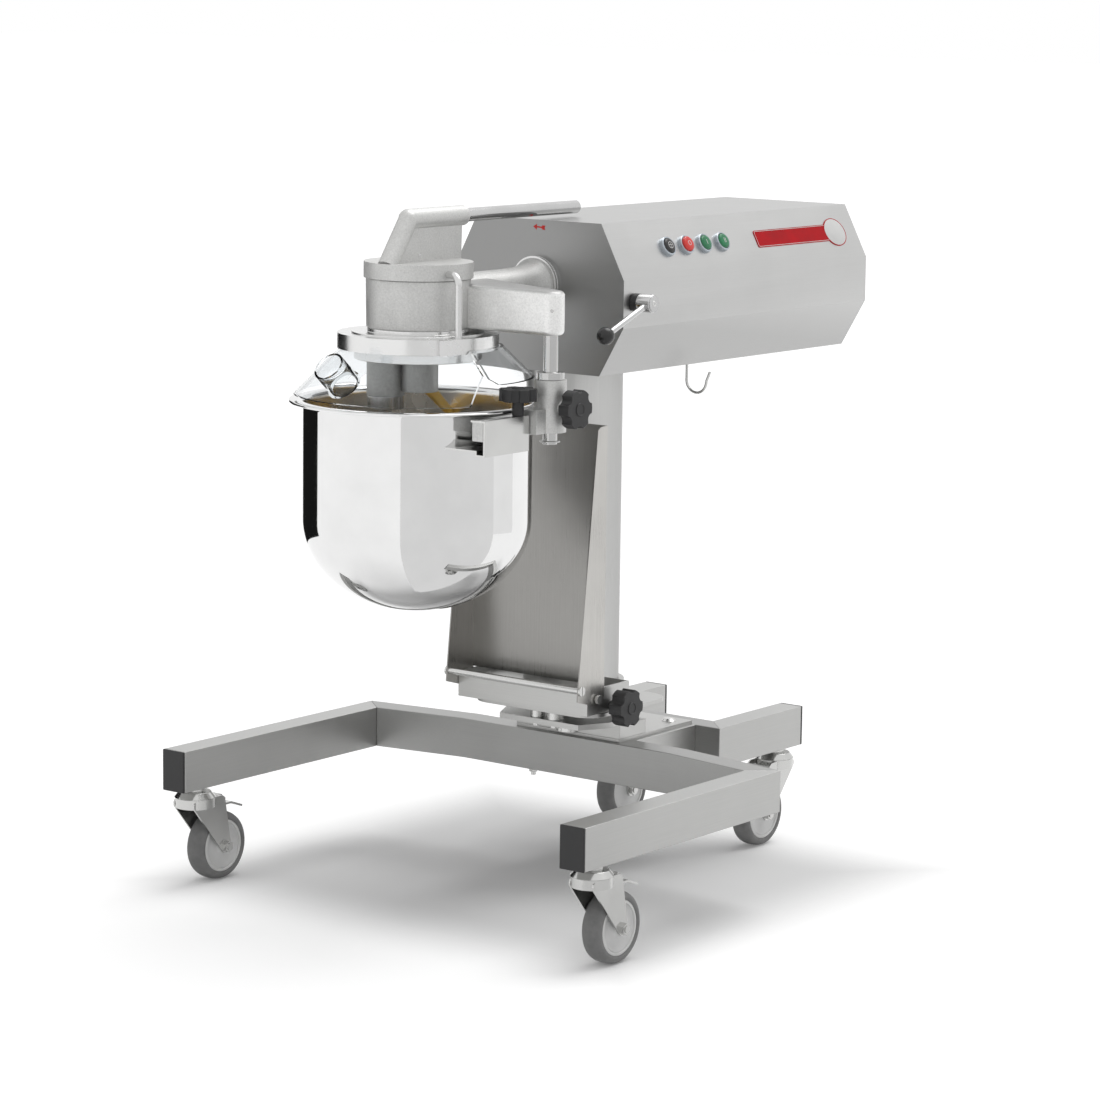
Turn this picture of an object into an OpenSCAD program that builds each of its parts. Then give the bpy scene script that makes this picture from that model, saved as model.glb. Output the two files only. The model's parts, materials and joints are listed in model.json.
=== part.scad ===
// Mobile kitchen drive unit with a planetary stirring head and a hanging bowl.
// All sizes are in millimetres. The origin is on the floor, on the column's
// axis. -Y points to the bowl, +X is the operator's side.

/* [Trolley frame] */
// Half of the width over the two front legs
base_half = 378; // [340:1:420]
// Width of the frame tubes
tube_w = 40; // [36:1:44]
// Height of the frame tubes
tube_h = 60; // [50:1:70]
// Wall of the frame tubes
tube_wall = 2; // [1.5:0.5:3]
// Front end of the legs, in front of the column's axis
leg_front = 466; // [430:1:500]
// Inner corner of leg and wing, in front of the column's axis
wing_front = 40; // [34:1:48]
// Half width of the straight part of the front beam
wing_x = 189; // [160:1:210]
// Front face of the front beam, in front of the column's axis
beam_front = 16; // [12:1:22]
// Half of the width over the two rear legs
rear_half = 148; // [140:1:170]
// Front face of the rear beam, behind the column's axis
rear_beam_y = 172; // [160:1:200]
// Rear end of the rear legs
rear_end = 394; // [370:1:430]
// Half of the width over the two spine tubes
spine_half = 104; // [98:1:112]
// Thickness of the black end caps
cap_t = 4; // [3:1:6]

/* [Casters] */
// Height from the floor to the frame tubes
caster_h = 143; // [140:1:150]
// Radius of the wheels
wheel_r = 50; // [46:1:52]
// Width of the tyres
tyre_w = 32; // [28:1:34]
// Offset of the wheel axle from the swivel axis
trail = 44; // [38:1:46]
// Distance of the swivel axis from the end of a leg
caster_inset = 46; // [40:1:60]
// Radius of the swivel bearing's cup
cup_r = 29; // [26:1:31]
// Radius of the wheel axles
axle_r = 5; // [4:0.5:6]

/* [Pedestal] */
// Half width of the base plate and the foot block
plate_half = 95; // [90:1:98]
// Thickness of the base plate
plate_t = 5; // [4:1:8]
// Height of the foot block
foot_h = 21; // [16:1:26]
// Thickness of the lower pedestal plate
lower_t = 8; // [6:1:10]
// Half length of the lower pedestal plate, front to rear
lower_reach = 76; // [72:1:90]
// Height of the gap between the two pedestal plates
spacer_h = 16.5; // [12:0.5:20]
// Thickness of the bearing plate
bearing_t = 6; // [5:1:8]
// Half width of the bearing plate
bearing_half = 114; // [108:1:115]
// Radius of the brake drum
drum_r = 72; // [68:1:76]
// Radius of the king pin
pin_r = 20; // [16:1:24]

/* [Column] */
// Outer radius of the column tube
column_r = 70; // [66:1:72]
// Wall of the column tube
column_wall = 3; // [2:0.5:5]
// Half width of the hinge box in front of the column
box_half = 118; // [117:1:122]
// Front face of the hinge box, in front of the column's axis
box_front = 116; // [112:1:122]
// Wall of the hinge box
box_wall = 2.5; // [2:0.5:3]
// Underside of the hinge box above the bearing plate
box_gap = 2.5; // [1:0.5:4]
// Height of the hinge box
box_h = 38; // [36:1:44]

/* [Shelf] */
// Thickness of the shelf sheet
shelf_t = 2; // [1.5:0.5:3]
// Height of the housing's underside above the shelf's free edge
shelf_clear = 70; // [52:1:122]
// Depth of the side flanges at the hinge end
flange_deep = 62; // [56:1:66]
// Depth of the side flanges at the free end
flange_shallow = 22; // [16:1:30]
// Radius of the cross bar
shelf_bar_r = 5; // [4:0.5:6]

/* [Housing] */
// Half width of the housing's flat top and underside
housing_top_half = 112; // [105:1:118]
// Half width of the housing at its sides
housing_half = 153; // [148:1:160]
// Underside of the housing above the floor
housing_z = 747; // [720:1:780]
// Height of the lower chamfers
chamfer_low = 70; // [60:1:80]
// Height of the vertical sides
side_h = 67; // [55:1:80]
// Height of the upper chamfers
chamfer_high = 78; // [70:1:85]
// Front face of the housing, in front of the column's axis
housing_front = 91; // [86:1:96]
// Rear face of the housing, behind the column's axis
housing_rear = 533; // [500:1:560]
// Sheet of the housing
sheet_t = 2; // [1.5:0.5:3]

/* [Controls] */
// Radius of the button bezels
bezel_r = 15; // [13:1:16]
// Radius of the push buttons
button_r = 11; // [9:1:12]
// Travel of the push buttons
button_travel = 3; // [2:0.5:4]
// Distance between the push buttons
button_pitch = 45; // [38:1:50]
// Length of the clamping lever
lever_len = 107; // [90:1:120]

/* [Head] */
// Distance of the head's axis in front of the column's axis
head_y = 356; // [346:1:366]
// Outer radius of the head casting
head_r = 72; // [71:1:73]
// Underside of the head casting below the drive shaft's axis
head_drop = 43; // [35:1:51]
// Height of the head casting
head_h = 68; // [66:1:72]
// Radius of the head's turning cap
cap_r = 75; // [74:1:78]
// Height of the head's turning cap
cap_h = 22; // [18:1:26]
// Drive shaft's axis above the housing's underside
drive_rise = 124; // [122:1:125]
// Radius of the drive shaft
drive_r = 12; // [10:1:13]
// Distance of the tool spindle from the head's axis
orbit_r = 45; // [44:1:46]
// Height of the handle rod above the cap
handle_rise = 58; // [50:1:64]
// Radius of the handle rod
handle_r = 9.5; // [8:0.5:11]
// Length of the handle rod behind its socket
handle_len = 259; // [200:1:262]

/* [Splash guard] */
// Outer radius of the guard ring
ring_r = 111; // [106:1:116]
// Height of the guard ring
ring_h = 21; // [16:1:23]
// Radius of the clear guard's lower edge
guard_r = 170; // [166:1:171]
// Height of the clear guard's lower edge above the bowl's rim
guard_gap = 7; // [5:1:10]
// Thickness of the clear guard
guard_t = 3; // [2:0.5:4]
// Outer radius of the filling chute
chute_r = 22; // [18:1:22]
// Length of the filling chute
chute_len = 40; // [34:1:41]

/* [Bowl] */
// Outer radius of the bowl
bowl_r = 158; // [154:1:159]
// Wall of the bowl
bowl_wall = 1.5; // [1:0.5:2.5]
// Outer radius of the bowl's rim
rim_r = 177; // [172:1:177]
// Bowl's rim below the underside of the head casting
rim_drop = 99; // [96:1:100]
// Straight height of the bowl's wall
bowl_straight = 165; // [150:1:180]
// Depth of the bowl's rounded bottom
bowl_round = 128; // [100:1:140]

/* [Bowl carrier] */
// Radius of the post
post_r = 10; // [8:0.5:12]
// Post's axis beside the head's axis
post_x = 197; // [196:1:204]
// Post's axis behind the head's axis
post_back = 42; // [38:1:46]
// Outer radius of the clamp body
clamp_r = 22; // [18:0.5:22]
// Height of the clamp body
clamp_h = 71; // [60:1:74]
// Travel of the clamp body down the post
clamp_travel = 10; // [6:1:11]
// Radius of the star knobs
knob_r = 27; // [24:1:28]

/* [Hidden] */

// Running clearance of a shaft in its bore
run_gap = 0.05;
// Gap between pieces that move past each other
gap = 0.3;
// Overshoot of a cutting body past the surface that it cuts
cut = 1;
$fn = 64;

// Heights of the trolley and the pedestal
frame_z = caster_h;
frame_top = frame_z + tube_h;
foot_z = frame_top + plate_t;
lower_z = foot_z + foot_h;
spacer_z = lower_z + lower_t;
bearing_z = spacer_z + spacer_h;
drum_z = bearing_z + bearing_t;
box_z = drum_z + box_gap;
box_top = box_z + box_h;
drum_h = box_h - 18.5;
thrust_h = 4.7;
floor_z = drum_z + drum_h + thrust_h + gap;
floor_t = 4;
column_z = floor_z + floor_t;
foot_front = 6;
foot_rear = 59;
plate_rear = 176;

// Heights that follow the housing
drive_z = housing_z + drive_rise;
head_z = drive_z - head_drop;
rim_z = head_z - rim_drop;

// Corners of the trolley frame
leg_in = base_half - tube_w;
wing_slope = (wing_front - beam_front) / (leg_in - wing_x);
wing_angle = atan(wing_slope);
leg_out_y = -wing_front + tube_w * (1 - sin(wing_angle)) / cos(wing_angle);
rear_in = rear_half - tube_w;

// Swivel axes of the casters: x, y and the side that the wheel trails to
front_caster_y = -leg_front + caster_inset;
rear_caster_y = rear_end - caster_inset;
caster_x = base_half - tube_w / 2;
rear_caster_x = rear_half - tube_w / 2;
cup_top = caster_h - 15;
cheek_x = tyre_w / 2 + 2;
cheek_t = 2.5;
pedal_y = 38;
pedal_z = wheel_r + 62;
pedal_pin_r = 3;

// Shelf hinge: the shelf's front face comes to rest on the hinge box
hinge_y = -box_front + 18.4;
hinge_z = box_top - 15;
hinge_r = 4;
shelf_len = housing_z - hinge_z - shelf_clear;
shelf_face = hinge_z - box_top - 0.4;
shelf_front = hinge_y - shelf_face;
shelf_rear = shelf_front + shelf_t;
flange_in = box_half + 0.5;
shelf_bar_y = hinge_y - 37.5;
shelf_bar_z = hinge_z + 17;
lock_y = -60;
lock_z = drum_z + 11;

// Housing section
housing_top = housing_z + chamfer_low + side_h + chamfer_high;
upper_z = housing_top - chamfer_high;
lower_chamfer_z = housing_z + chamfer_low;
slope_angle = atan2(chamfer_high, housing_half - housing_top_half);
button_z = housing_top - chamfer_high / 2;
button_x = (housing_top_half + housing_half) / 2;
first_button_y = 38;
hub_r = 40;
hub_t = 10;
lever_y = -67;
lever_z = housing_z + 106;
lever_x = housing_half;
lever_drop = 21;

// Drive inside the housing
mount_half = housing_top_half - 17;
mount_front = 80;
mount_rear = housing_rear - 313;
mount_t = 8;
mount_top = housing_z + sheet_t + mount_t;
gearbox_half = mount_half - 33;
gearbox_front = 60;
motor_y = mount_rear - 90;
motor_r = 62;
motor_end = housing_rear - 128;
terminal_half = 45;

// Head
cap_z = head_z + head_h + gap;
cap_top = cap_z + cap_h;
head_wall = 6;
boss_r = 30;
neck_r = 25;
arm_z = head_z;
arm_top = drive_z + 17;
arm_r = 18;
arm_front = -head_y + 24;
handle_z = cap_top + handle_rise;
handle_socket_r = 14;
handle_front = -head_y - 22;
handle_back = -head_y + 94;
rod_angle = -18;
rod_radius = 101;
rod_r = 5;
rod_bend = 14;
rod_z = cap_z + 9;

// Splash guard
ring_z = head_z - 28;
ring_in = 91.6;
rod_seat = ring_z + ring_h - 8;
fixed_low = ring_z - 15;
carrier_low = fixed_low - 2;
fixed_bore = 60;
fixed_r = 88;
guard_z = rim_z + guard_gap;
guard_top_r = ring_r - 5;
guard_from = -215;
guard_sweep = 206;
chute_angle = -93;
chute_out = guard_r - 24;
chute_tilt = 48;
strap_from = 60;
strap_sweep = 60;
strap_low = ring_z + ring_h + 0.5;
strap_top = strap_low + 3.5;
strap_r = ring_r + 6;
rear_guard_top = ring_z + 4;
rear_guard_low = guard_z + 26;
rear_guard_r = guard_r - 10;

// Gears: planet wheel inside the ring gear, bevel pinion on the drive shaft
gear_module = 2;
planet_teeth = 17;
ring_teeth = 2 * orbit_r / gear_module + planet_teeth;
planet_pitch = gear_module * planet_teeth / 2;
ring_pitch = planet_pitch + orbit_r;
gear_z = head_z + 4;
gear_h = 10;
planet_angle = -128.7;
planet_x = orbit_r * cos(planet_angle);
planet_y = -head_y + orbit_r * sin(planet_angle);
scraper_angle = 112;
bevel_far = 36;
bevel_near = 24;
bevel_gap = 0.5;
spindle_r = 10;
housing_low = rim_z + 6;
socket_h = 18;
socket_r = 25;
socket_z = housing_low - gap - socket_h;
shank_r = 9;

// Bowl and its carrier
bowl_z = rim_z - 2.5;
bowl_low = rim_z - bowl_straight - bowl_round;
bowl_mid = rim_z - bowl_straight;
post_y = -head_y + post_back;
clamp_z = rim_z - 32;
post_low = clamp_z - clamp_travel - 7;
collar_h = 10;
bar_x = post_x - 23.5;
bar_w = 18;
bar_top = rim_z - 8.8;
bar_h = 25;
bar_low = bar_top - bar_h;
knob_screw_r = 4;
bracket_back = post_y - 43;
bracket_len = 95;
bracket_t = 2.5;
bracket_x = bar_x - 3;
bracket_w = 24;
bracket_top = bar_top + bracket_t;
bracket_low = bracket_top - 48;
knob_y = bracket_back - 14;
knob_x = bar_x + 13;
clamp_knob_z = rim_z + 2;

// Helpers
module tube_y(x0, x1, y0, y1) {
    // Rectangular tube along Y between two x values
    translate([0, y1, frame_z]) rotate([90, 0, 0]) linear_extrude(y1 - y0) difference() {
        translate([x0, 0]) square([x1 - x0, tube_h]);
        translate([x0 + tube_wall, tube_wall])
            square([x1 - x0 - 2 * tube_wall, tube_h - 2 * tube_wall]);
    }
}
module rod(from, to, r, fn = 32) {
    // Round bar between two points
    d = to - from;
    translate(from) rotate([0, acos(d.z / norm(d)), atan2(d.y, d.x)]) cylinder(r = r, h = norm(d), $fn = fn);
}
module along_x(x0, x1, r, y = 0, z = 0, fn = 48) {
    translate([x0, y, z]) rotate([0, 90, 0]) cylinder(r = r, h = x1 - x0, $fn = fn);
}
module along_y(y0, y1, r, x = 0, z = 0, fn = 48) {
    translate([x, y1, z]) rotate([90, 0, 0]) cylinder(r = r, h = y1 - y0, $fn = fn);
}
module ring(r_out, r_in, h) {
    difference() {
        cylinder(r = r_out, h = h, $fn = 96);
        translate([0, 0, -cut]) cylinder(r = r_in, h = h + 2 * cut, $fn = 96);
    }
}
module star_knob(r, h) {
    // Six lobed grip with a stepped hub, along +Z from its seat
    lobes = 6;
    linear_extrude(h) difference() {
        circle(r = r, $fn = 72);
        for (i = [0 : lobes - 1])
            rotate(i * 360 / lobes) translate([r * 1.13, 0]) circle(r = r * 0.3, $fn = 32);
    }
}
module head_axis() {
    translate([0, -head_y, 0]) children();
}

// Trolley frame
function band_leg(o) = [leg_in + o, -wing_front + (leg_out_y + wing_front) * o / tube_w];
function band_bend(o) = [wing_x + o * tan(wing_angle / 2), -beam_front + o];
function mirrored(p) = [-p.x, p.y];
module band(o0, o1, z0, z1, past = 0) {
    // Straight beam with two wings, between two depths behind its front face
    out = [past * cos(wing_angle), -past * sin(wing_angle)];
    right = [band_bend(o0), band_leg(o0) + out, band_leg(o1) + out, band_bend(o1)];
    left = [for (i = [3 : -1 : 0]) mirrored(right[i])];
    translate([0, 0, z0]) linear_extrude(z1 - z0) polygon(concat(right, left));
}
module front_beam() {
    color("silver") difference() {
        band(0, tube_w, frame_z, frame_top);
        band(tube_wall, tube_w - tube_wall, frame_z + tube_wall, frame_top - tube_wall, 5);
    }
}
module front_leg() {
    y0 = -leg_front + cap_t;
    difference() {
        translate([0, 0, frame_z]) linear_extrude(tube_h)
            polygon([[leg_in, y0], [base_half, y0], band_leg(tube_w), band_leg(0)]);
        translate([0, 0, frame_z + tube_wall]) linear_extrude(tube_h - 2 * tube_wall)
            polygon([
                [leg_in + tube_wall, y0 - cut], [base_half - tube_wall, y0 - cut],
                band_leg(tube_w - tube_wall) + [0, 5], band_leg(tube_wall) + [0, 5]
            ]);
    }
}
module rear_leg() {
    y1 = rear_end - cap_t;
    difference() {
        translate([0, 0, frame_z]) linear_extrude(tube_h)
            polygon([
                [rear_half, rear_beam_y], [rear_half, y1], [rear_in, y1],
                [rear_in, rear_beam_y + tube_w]
            ]);
        translate([0, 0, frame_z + tube_wall]) linear_extrude(tube_h - 2 * tube_wall)
            polygon([
                [rear_half - tube_wall, rear_beam_y + tube_wall - 5],
                [rear_half - tube_wall, y1 + cut], [rear_in + tube_wall, y1 + cut],
                [rear_in + tube_wall, rear_beam_y + tube_w - tube_wall - 5]
            ]);
    }
}
module leg_tubes() {
    color("silver") for (side = [0, 1]) mirror([side, 0, 0]) {
        front_leg();
        rear_leg();
    }
}
module rear_beam() {
    y0 = rear_beam_y;
    y1 = rear_beam_y + tube_w;
    w = tube_wall;
    color("silver") difference() {
        translate([0, 0, frame_z]) linear_extrude(tube_h)
            polygon([[-rear_half, y0], [rear_half, y0], [rear_in, y1], [-rear_in, y1]]);
        translate([0, 0, frame_z + w]) linear_extrude(tube_h - 2 * w)
            polygon([
                [-rear_half + w - 5, y0 + w], [rear_half - w + 5, y0 + w],
                [rear_in + w + 5, y1 - w], [-rear_in - w - 5, y1 - w]
            ]);
    }
}
module spine_tubes() {
    color("silver") for (side = [0, 1]) mirror([side, 0, 0])
        tube_y(spine_half - tube_w, spine_half, -beam_front + tube_w, rear_beam_y);
}
module end_cap(x0, y0, facing) {
    // Plug with a flange, the flange outside the tube's end
    y1 = facing < 0 ? y0 + cap_t : y0 - cap_t;
    translate([x0, min(y0, y1), frame_z]) cube([tube_w, cap_t, tube_h]);
    translate([x0 + tube_wall + gap, min(y1, y1 - facing * 12), frame_z + tube_wall + gap])
        cube([tube_w - 2 * tube_wall - 2 * gap, 12, tube_h - 2 * tube_wall - 2 * gap]);
}
module end_caps() {
    color("black") for (side = [0, 1]) mirror([side, 0, 0]) {
        end_cap(leg_in, -leg_front, -1);
        end_cap(rear_in, rear_end, 1);
    }
}

// Pedestal
module base_plate() {
    bolt_y = plate_rear - 25;
    color("gainsboro") difference() {
        translate([-plate_half, -foot_front, frame_top])
            cube([2 * plate_half, foot_front + plate_rear, plate_t]);
        for (x = [-70, 70]) translate([x, bolt_y, frame_top - cut]) cylinder(r = 5, h = plate_t + 2 * cut);
    }
}
module foot_block() {
    color("silver") difference() {
        translate([-plate_half, -foot_front, foot_z])
            cube([2 * plate_half, foot_front + foot_rear, foot_h]);
        translate([0, 0, foot_z - cut]) cylinder(r = pin_r, h = foot_h + 2 * cut);
    }
}
module lower_plate() {
    b = 23;
    h = lower_reach;
    w = plate_half;
    color("silver") difference() {
        translate([0, 0, lower_z]) linear_extrude(lower_t)
            polygon([
                [-w + b, -h], [w - b, -h], [w, -h + 2 * b], [w, h - 2 * b],
                [w - b, h], [-w + b, h], [-w, h - 2 * b], [-w, -h + 2 * b]
            ]);
        translate([0, 0, lower_z - cut]) {
            cylinder(r = pin_r, h = lower_t + 2 * cut);
            for (p = spacer_places()) translate([p.x, p.y, 0]) cylinder(r = 4, h = lower_t + 2 * cut);
        }
    }
}
function spacer_places() = [
    [-12, 13 - lower_reach, 10.5], [20, 14 - lower_reach, 13],
    [-40, lower_reach - 9.5, 9], [40, lower_reach - 9.5, 9]
];
module base_fasteners() {
    color("gainsboro") {
        for (p = spacer_places()) translate([p.x, p.y, 0]) {
            // Spacer bush with the bolt's nut under the lower plate
            translate([0, 0, spacer_z]) ring(p.z, 4, spacer_h);
            translate([0, 0, lower_z - 5]) cylinder(r = 7, h = 5, $fn = 6);
            translate([0, 0, lower_z]) cylinder(r = 4, h = lower_t + spacer_h, $fn = 24);
        }
        for (x = [-70, 70]) translate([x, plate_rear - 25, frame_top]) {
            // Dome headed bolt of the base plate
            cylinder(r = 5, h = plate_t);
            translate([0, 0, plate_t]) cylinder(r1 = 11, r2 = 7, h = 4);
        }
        // Bolt under the front beam
        translate([-61, -beam_front + 8, frame_z - 4]) cylinder(r = 7, h = 4, $fn = 6);
        translate([-61, -beam_front + 8, frame_z - 9]) cylinder(r = 4, h = 5, $fn = 24);
    }
}
module bearing_plate() {
    // Plate with rounded corners and the brake drum on it
    c = 34;
    h = 98;
    color("silver") difference() {
        union() {
            translate([0, 0, bearing_z]) linear_extrude(bearing_t) union() {
                translate([-bearing_half + c, -h]) square([2 * (bearing_half - c), 2 * h]);
                translate([-bearing_half, -h + c]) square([2 * bearing_half, 2 * (h - c)]);
                for (x = [-1, 1], y = [-1, 1])
                    translate([x * (bearing_half - c), y * (h - c)]) circle(r = c, $fn = 48);
            }
            translate([0, 0, drum_z]) cylinder(r = drum_r, h = drum_h, $fn = 96);
        }
        translate([0, 0, bearing_z - cut]) cylinder(r = pin_r, h = bearing_t + drum_h + 2 * cut);
    }
}
module king_pin() {
    nut_z = column_z + gap;
    color("silver") {
        translate([0, 0, foot_z]) cylinder(r = pin_r, h = nut_z - foot_z + 22);
        translate([0, 0, nut_z]) ring(pin_r + 14, pin_r, 16);
        translate([0, 0, drum_z + drum_h]) ring(drum_r - 8, pin_r, thrust_h);
    }
}

// Casters, drawn at their swivel axis with the wheel trailing towards +Y
module caster_places() {
    for (x = [-caster_x, caster_x]) translate([x, front_caster_y, 0]) children();
    for (x = [-rear_caster_x, rear_caster_x]) translate([x, rear_caster_y, 0]) rotate(180) children();
}
module caster_stems() {
    // Plate, ball race and stem that bolt each caster to the frame
    color("silver") caster_places() {
        translate([0, 0, caster_h - 6]) cylinder(r = 15, h = 6, $fn = 48);
        translate([0, 0, cup_top + gap]) cylinder(r1 = cup_r + 1, r2 = cup_r - 6, h = 15 - 6 - gap, $fn = 48);
    }
}
module fork(braked = false) {
    // Pressed fork: cup, two cheeks and the axle bolt with its nut
    cheek = [cup_top - 14, wheel_r];
    difference() {
        union() {
            translate([0, 0, cheek[0]]) cylinder(r = cup_r, h = 14, $fn = 48);
            for (side = [-1, 1]) translate([side > 0 ? cheek_x : -cheek_x - cheek_t, 0, 0])
                rotate([90, 0, 90]) linear_extrude(cheek_t) hull() {
                    translate([trail, wheel_r]) circle(r = 10, $fn = 24);
                    translate([-16, cup_top - 9]) circle(r = 8, $fn = 16);
                    translate([34, cup_top - 9]) circle(r = 8, $fn = 16);
                }
            translate([-cheek_x - cheek_t, 6, cup_top - 8]) cube([2 * (cheek_x + cheek_t), 36, 3]);
        }
        translate([0, 0, cheek[0] - cut]) cylinder(r = cup_r - 4, h = 8, $fn = 48);
        along_x(-40, 40, axle_r, trail, wheel_r);
        if (braked) along_x(-40, 40, pedal_pin_r + run_gap, pedal_y, pedal_z);
    }
    along_x(-cheek_x - 10, cheek_x + 10, axle_r, trail, wheel_r);
    for (x = [-cheek_x - cheek_t - 6, cheek_x + cheek_t]) difference() {
        along_x(x, x + 6, 8.5, trail, wheel_r, 6);
        along_x(x - cut, x + 6 + cut, axle_r, trail, wheel_r);
    }
}
module wheel() {
    // Tyre and wheel centre, two solids
    translate([0, trail, wheel_r]) rotate([0, 90, 0]) {
        rotate_extrude($fn = 96) polygon([
            [wheel_r - 11, -tyre_w / 2 + 1], [wheel_r - 5, -tyre_w / 2], [wheel_r - 1.5, -tyre_w / 2 + 4],
            [wheel_r, -4], [wheel_r, 4], [wheel_r - 1.5, tyre_w / 2 - 4], [wheel_r - 5, tyre_w / 2],
            [wheel_r - 11, tyre_w / 2 - 1]
        ]);
        rotate_extrude($fn = 96) polygon([
            [axle_r + run_gap, -tyre_w / 2 - 1], [14, -tyre_w / 2 - 1], [16, -tyre_w / 2 + 3],
            [wheel_r - 16, -tyre_w / 2 + 3], [wheel_r - 11, -tyre_w / 2 + 1], [wheel_r - 11, tyre_w / 2 - 1],
            [wheel_r - 16, tyre_w / 2 - 3], [16, tyre_w / 2 - 3], [14, tyre_w / 2 + 1],
            [axle_r + run_gap, tyre_w / 2 + 1]
        ]);
    }
}
module pedal() {
    // Brake pedal between the cheeks, with its shoe and upper release tab
    translate([0, pedal_y, pedal_z]) {
        along_x(-cheek_x - cheek_t, cheek_x + cheek_t, pedal_pin_r);
        along_x(-14, 14, 5);
        translate([-13, 0, -3]) cube([26, 26, 3]);
        translate([-13, 25, -3]) rotate([-20, 0, 0]) cube([26, 24, 3]);
        translate([-12, -4, -9]) cube([24, 13, 7]);
        translate([-8, 2, 2]) rotate([-30, 0, 0]) cube([16, 3, 13]);
    }
}
module at_front(side) {
    translate([side * caster_x, front_caster_y, 0]) children();
}
module at_rear(side) {
    translate([side * rear_caster_x, rear_caster_y, 0]) rotate(180) children();
}
module fork_front_left() {
    color("lightgray") at_front(-1) fork(true);
}
module fork_front_right() {
    color("lightgray") at_front(1) fork(true);
}
module fork_rear_left() {
    color("lightgray") at_rear(-1) fork();
}
module fork_rear_right() {
    color("lightgray") at_rear(1) fork();
}
module wheel_front_left() {
    color("dimgray") at_front(-1) wheel();
}
module wheel_front_right() {
    color("dimgray") at_front(1) wheel();
}
module wheel_rear_left() {
    color("dimgray") at_rear(-1) wheel();
}
module wheel_rear_right() {
    color("dimgray") at_rear(1) wheel();
}
module pedal_left() {
    color("lightgray") at_front(-1) pedal();
}
module pedal_right() {
    color("lightgray") at_front(1) pedal();
}

// Column
module column_foot() {
    w = box_half;
    t = box_wall;
    floor_front = 85;
    back = 16;
    color("silver") {
        difference() {
            union() {
                translate([-w, -box_front, box_z]) cube([2 * w, t, box_h]);
                for (x = [-w, w - t]) translate([x, -box_front, box_z]) cube([t, box_front - back, box_h]);
                for (x = [-w, drum_r + 3]) translate([x, -back - t, box_z])
                    cube([w - drum_r - 3, t, box_h]);
                translate([-w, -floor_front, floor_z]) cube([2 * w, floor_front - back, floor_t]);
                translate([0, 0, floor_z]) cylinder(r = column_r + 8, h = floor_t, $fn = 96);
            }
            translate([0, 0, floor_z - cut]) cylinder(r = pin_r + run_gap, h = floor_t + 2 * cut);
            translate([0, 0, column_z]) cylinder(r = column_r + 0.01, h = 100, $fn = 96);
            along_x(-w - cut, w + cut, hinge_r, hinge_y, hinge_z);
            along_x(w - 10, w + cut, 6 + run_gap, lock_y, lock_z);
        }
        // Hinge bolts of the shelf, with their nuts inside the box
        for (side = [0, 1]) mirror([side, 0, 0]) {
            along_x(w - t - 9, w + 4.5, hinge_r, hinge_y, hinge_z);
            along_x(w + 4.5, w + 8.5, 6.5, hinge_y, hinge_z);
            difference() {
                along_x(w - t - 6, w - t, 7, hinge_y, hinge_z, 6);
                along_x(w - t - 7, w - t + cut, hinge_r, hinge_y, hinge_z);
            }
        }
    }
}
module column_tube() {
    color("silver") translate([0, 0, column_z])
        ring(column_r, column_r - column_wall, housing_z - column_z);
}
module lock_knob() {
    // Star knob and its clamping screw, which bears on the brake drum
    tip = sqrt(pow(drum_r, 2) - pow(abs(lock_y) - 6, 2)) + 2 * gap;
    seat = box_half + 16;
    color("black") translate([seat, lock_y, lock_z]) rotate([0, 90, 0]) star_knob(knob_r, 22);
    color("silver") {
        along_x(tip, seat, 6, lock_y, lock_z);
        difference() {
            along_x(box_half + 5, seat, 10, lock_y, lock_z);
            along_x(box_half + 4, seat + cut, 6, lock_y, lock_z);
        }
    }
}

// Shelf, drawn folded up against the column
module flange_outline() {
    // Side flange in Y and Z
    front_low = shelf_rear - flange_deep;
    front_high = shelf_rear - flange_shallow;
    top = hinge_z + shelf_len;
    difference() {
        polygon([
            [front_low, hinge_z + 2], [front_low + 1, hinge_z + 17], [front_high, top - 5],
            [front_high + 6, top - 1], [shelf_rear, top], [shelf_rear, hinge_z + 2],
            [shelf_rear - 3, hinge_z - 6], [hinge_y - 2, hinge_z - 10]
        ]);
        translate([hinge_y, hinge_z]) circle(r = hinge_r + run_gap, $fn = 48);
        translate([shelf_bar_y, shelf_bar_z]) circle(r = 3, $fn = 32);
    }
}
module shelf_panel() {
    low = box_top + 1.5;
    top = hinge_z + shelf_len;
    color("silver") difference() {
        union() {
            for (x = [-flange_in - shelf_t, flange_in]) translate([x, 0, 0])
                rotate([90, 0, 90]) linear_extrude(shelf_t) flange_outline();
            translate([-flange_in - cut, shelf_front, low])
                cube([2 * flange_in + 2 * cut, shelf_t, top - low]);
        }
    }
}
module shelf_bar() {
    color("gainsboro") {
        along_x(-flange_in, flange_in, shelf_bar_r, shelf_bar_y, shelf_bar_z);
        for (side = [0, 1]) mirror([side, 0, 0]) {
            along_x(flange_in, flange_in + shelf_t, 3, shelf_bar_y, shelf_bar_z);
            difference() {
                along_x(flange_in + shelf_t, flange_in + shelf_t + 3, 7, shelf_bar_y, shelf_bar_z);
                translate([flange_in + shelf_t + 1.8, shelf_bar_y - 0.8, shelf_bar_z - 8]) cube([3, 1.6, 16]);
            }
        }
    }
}

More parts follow.
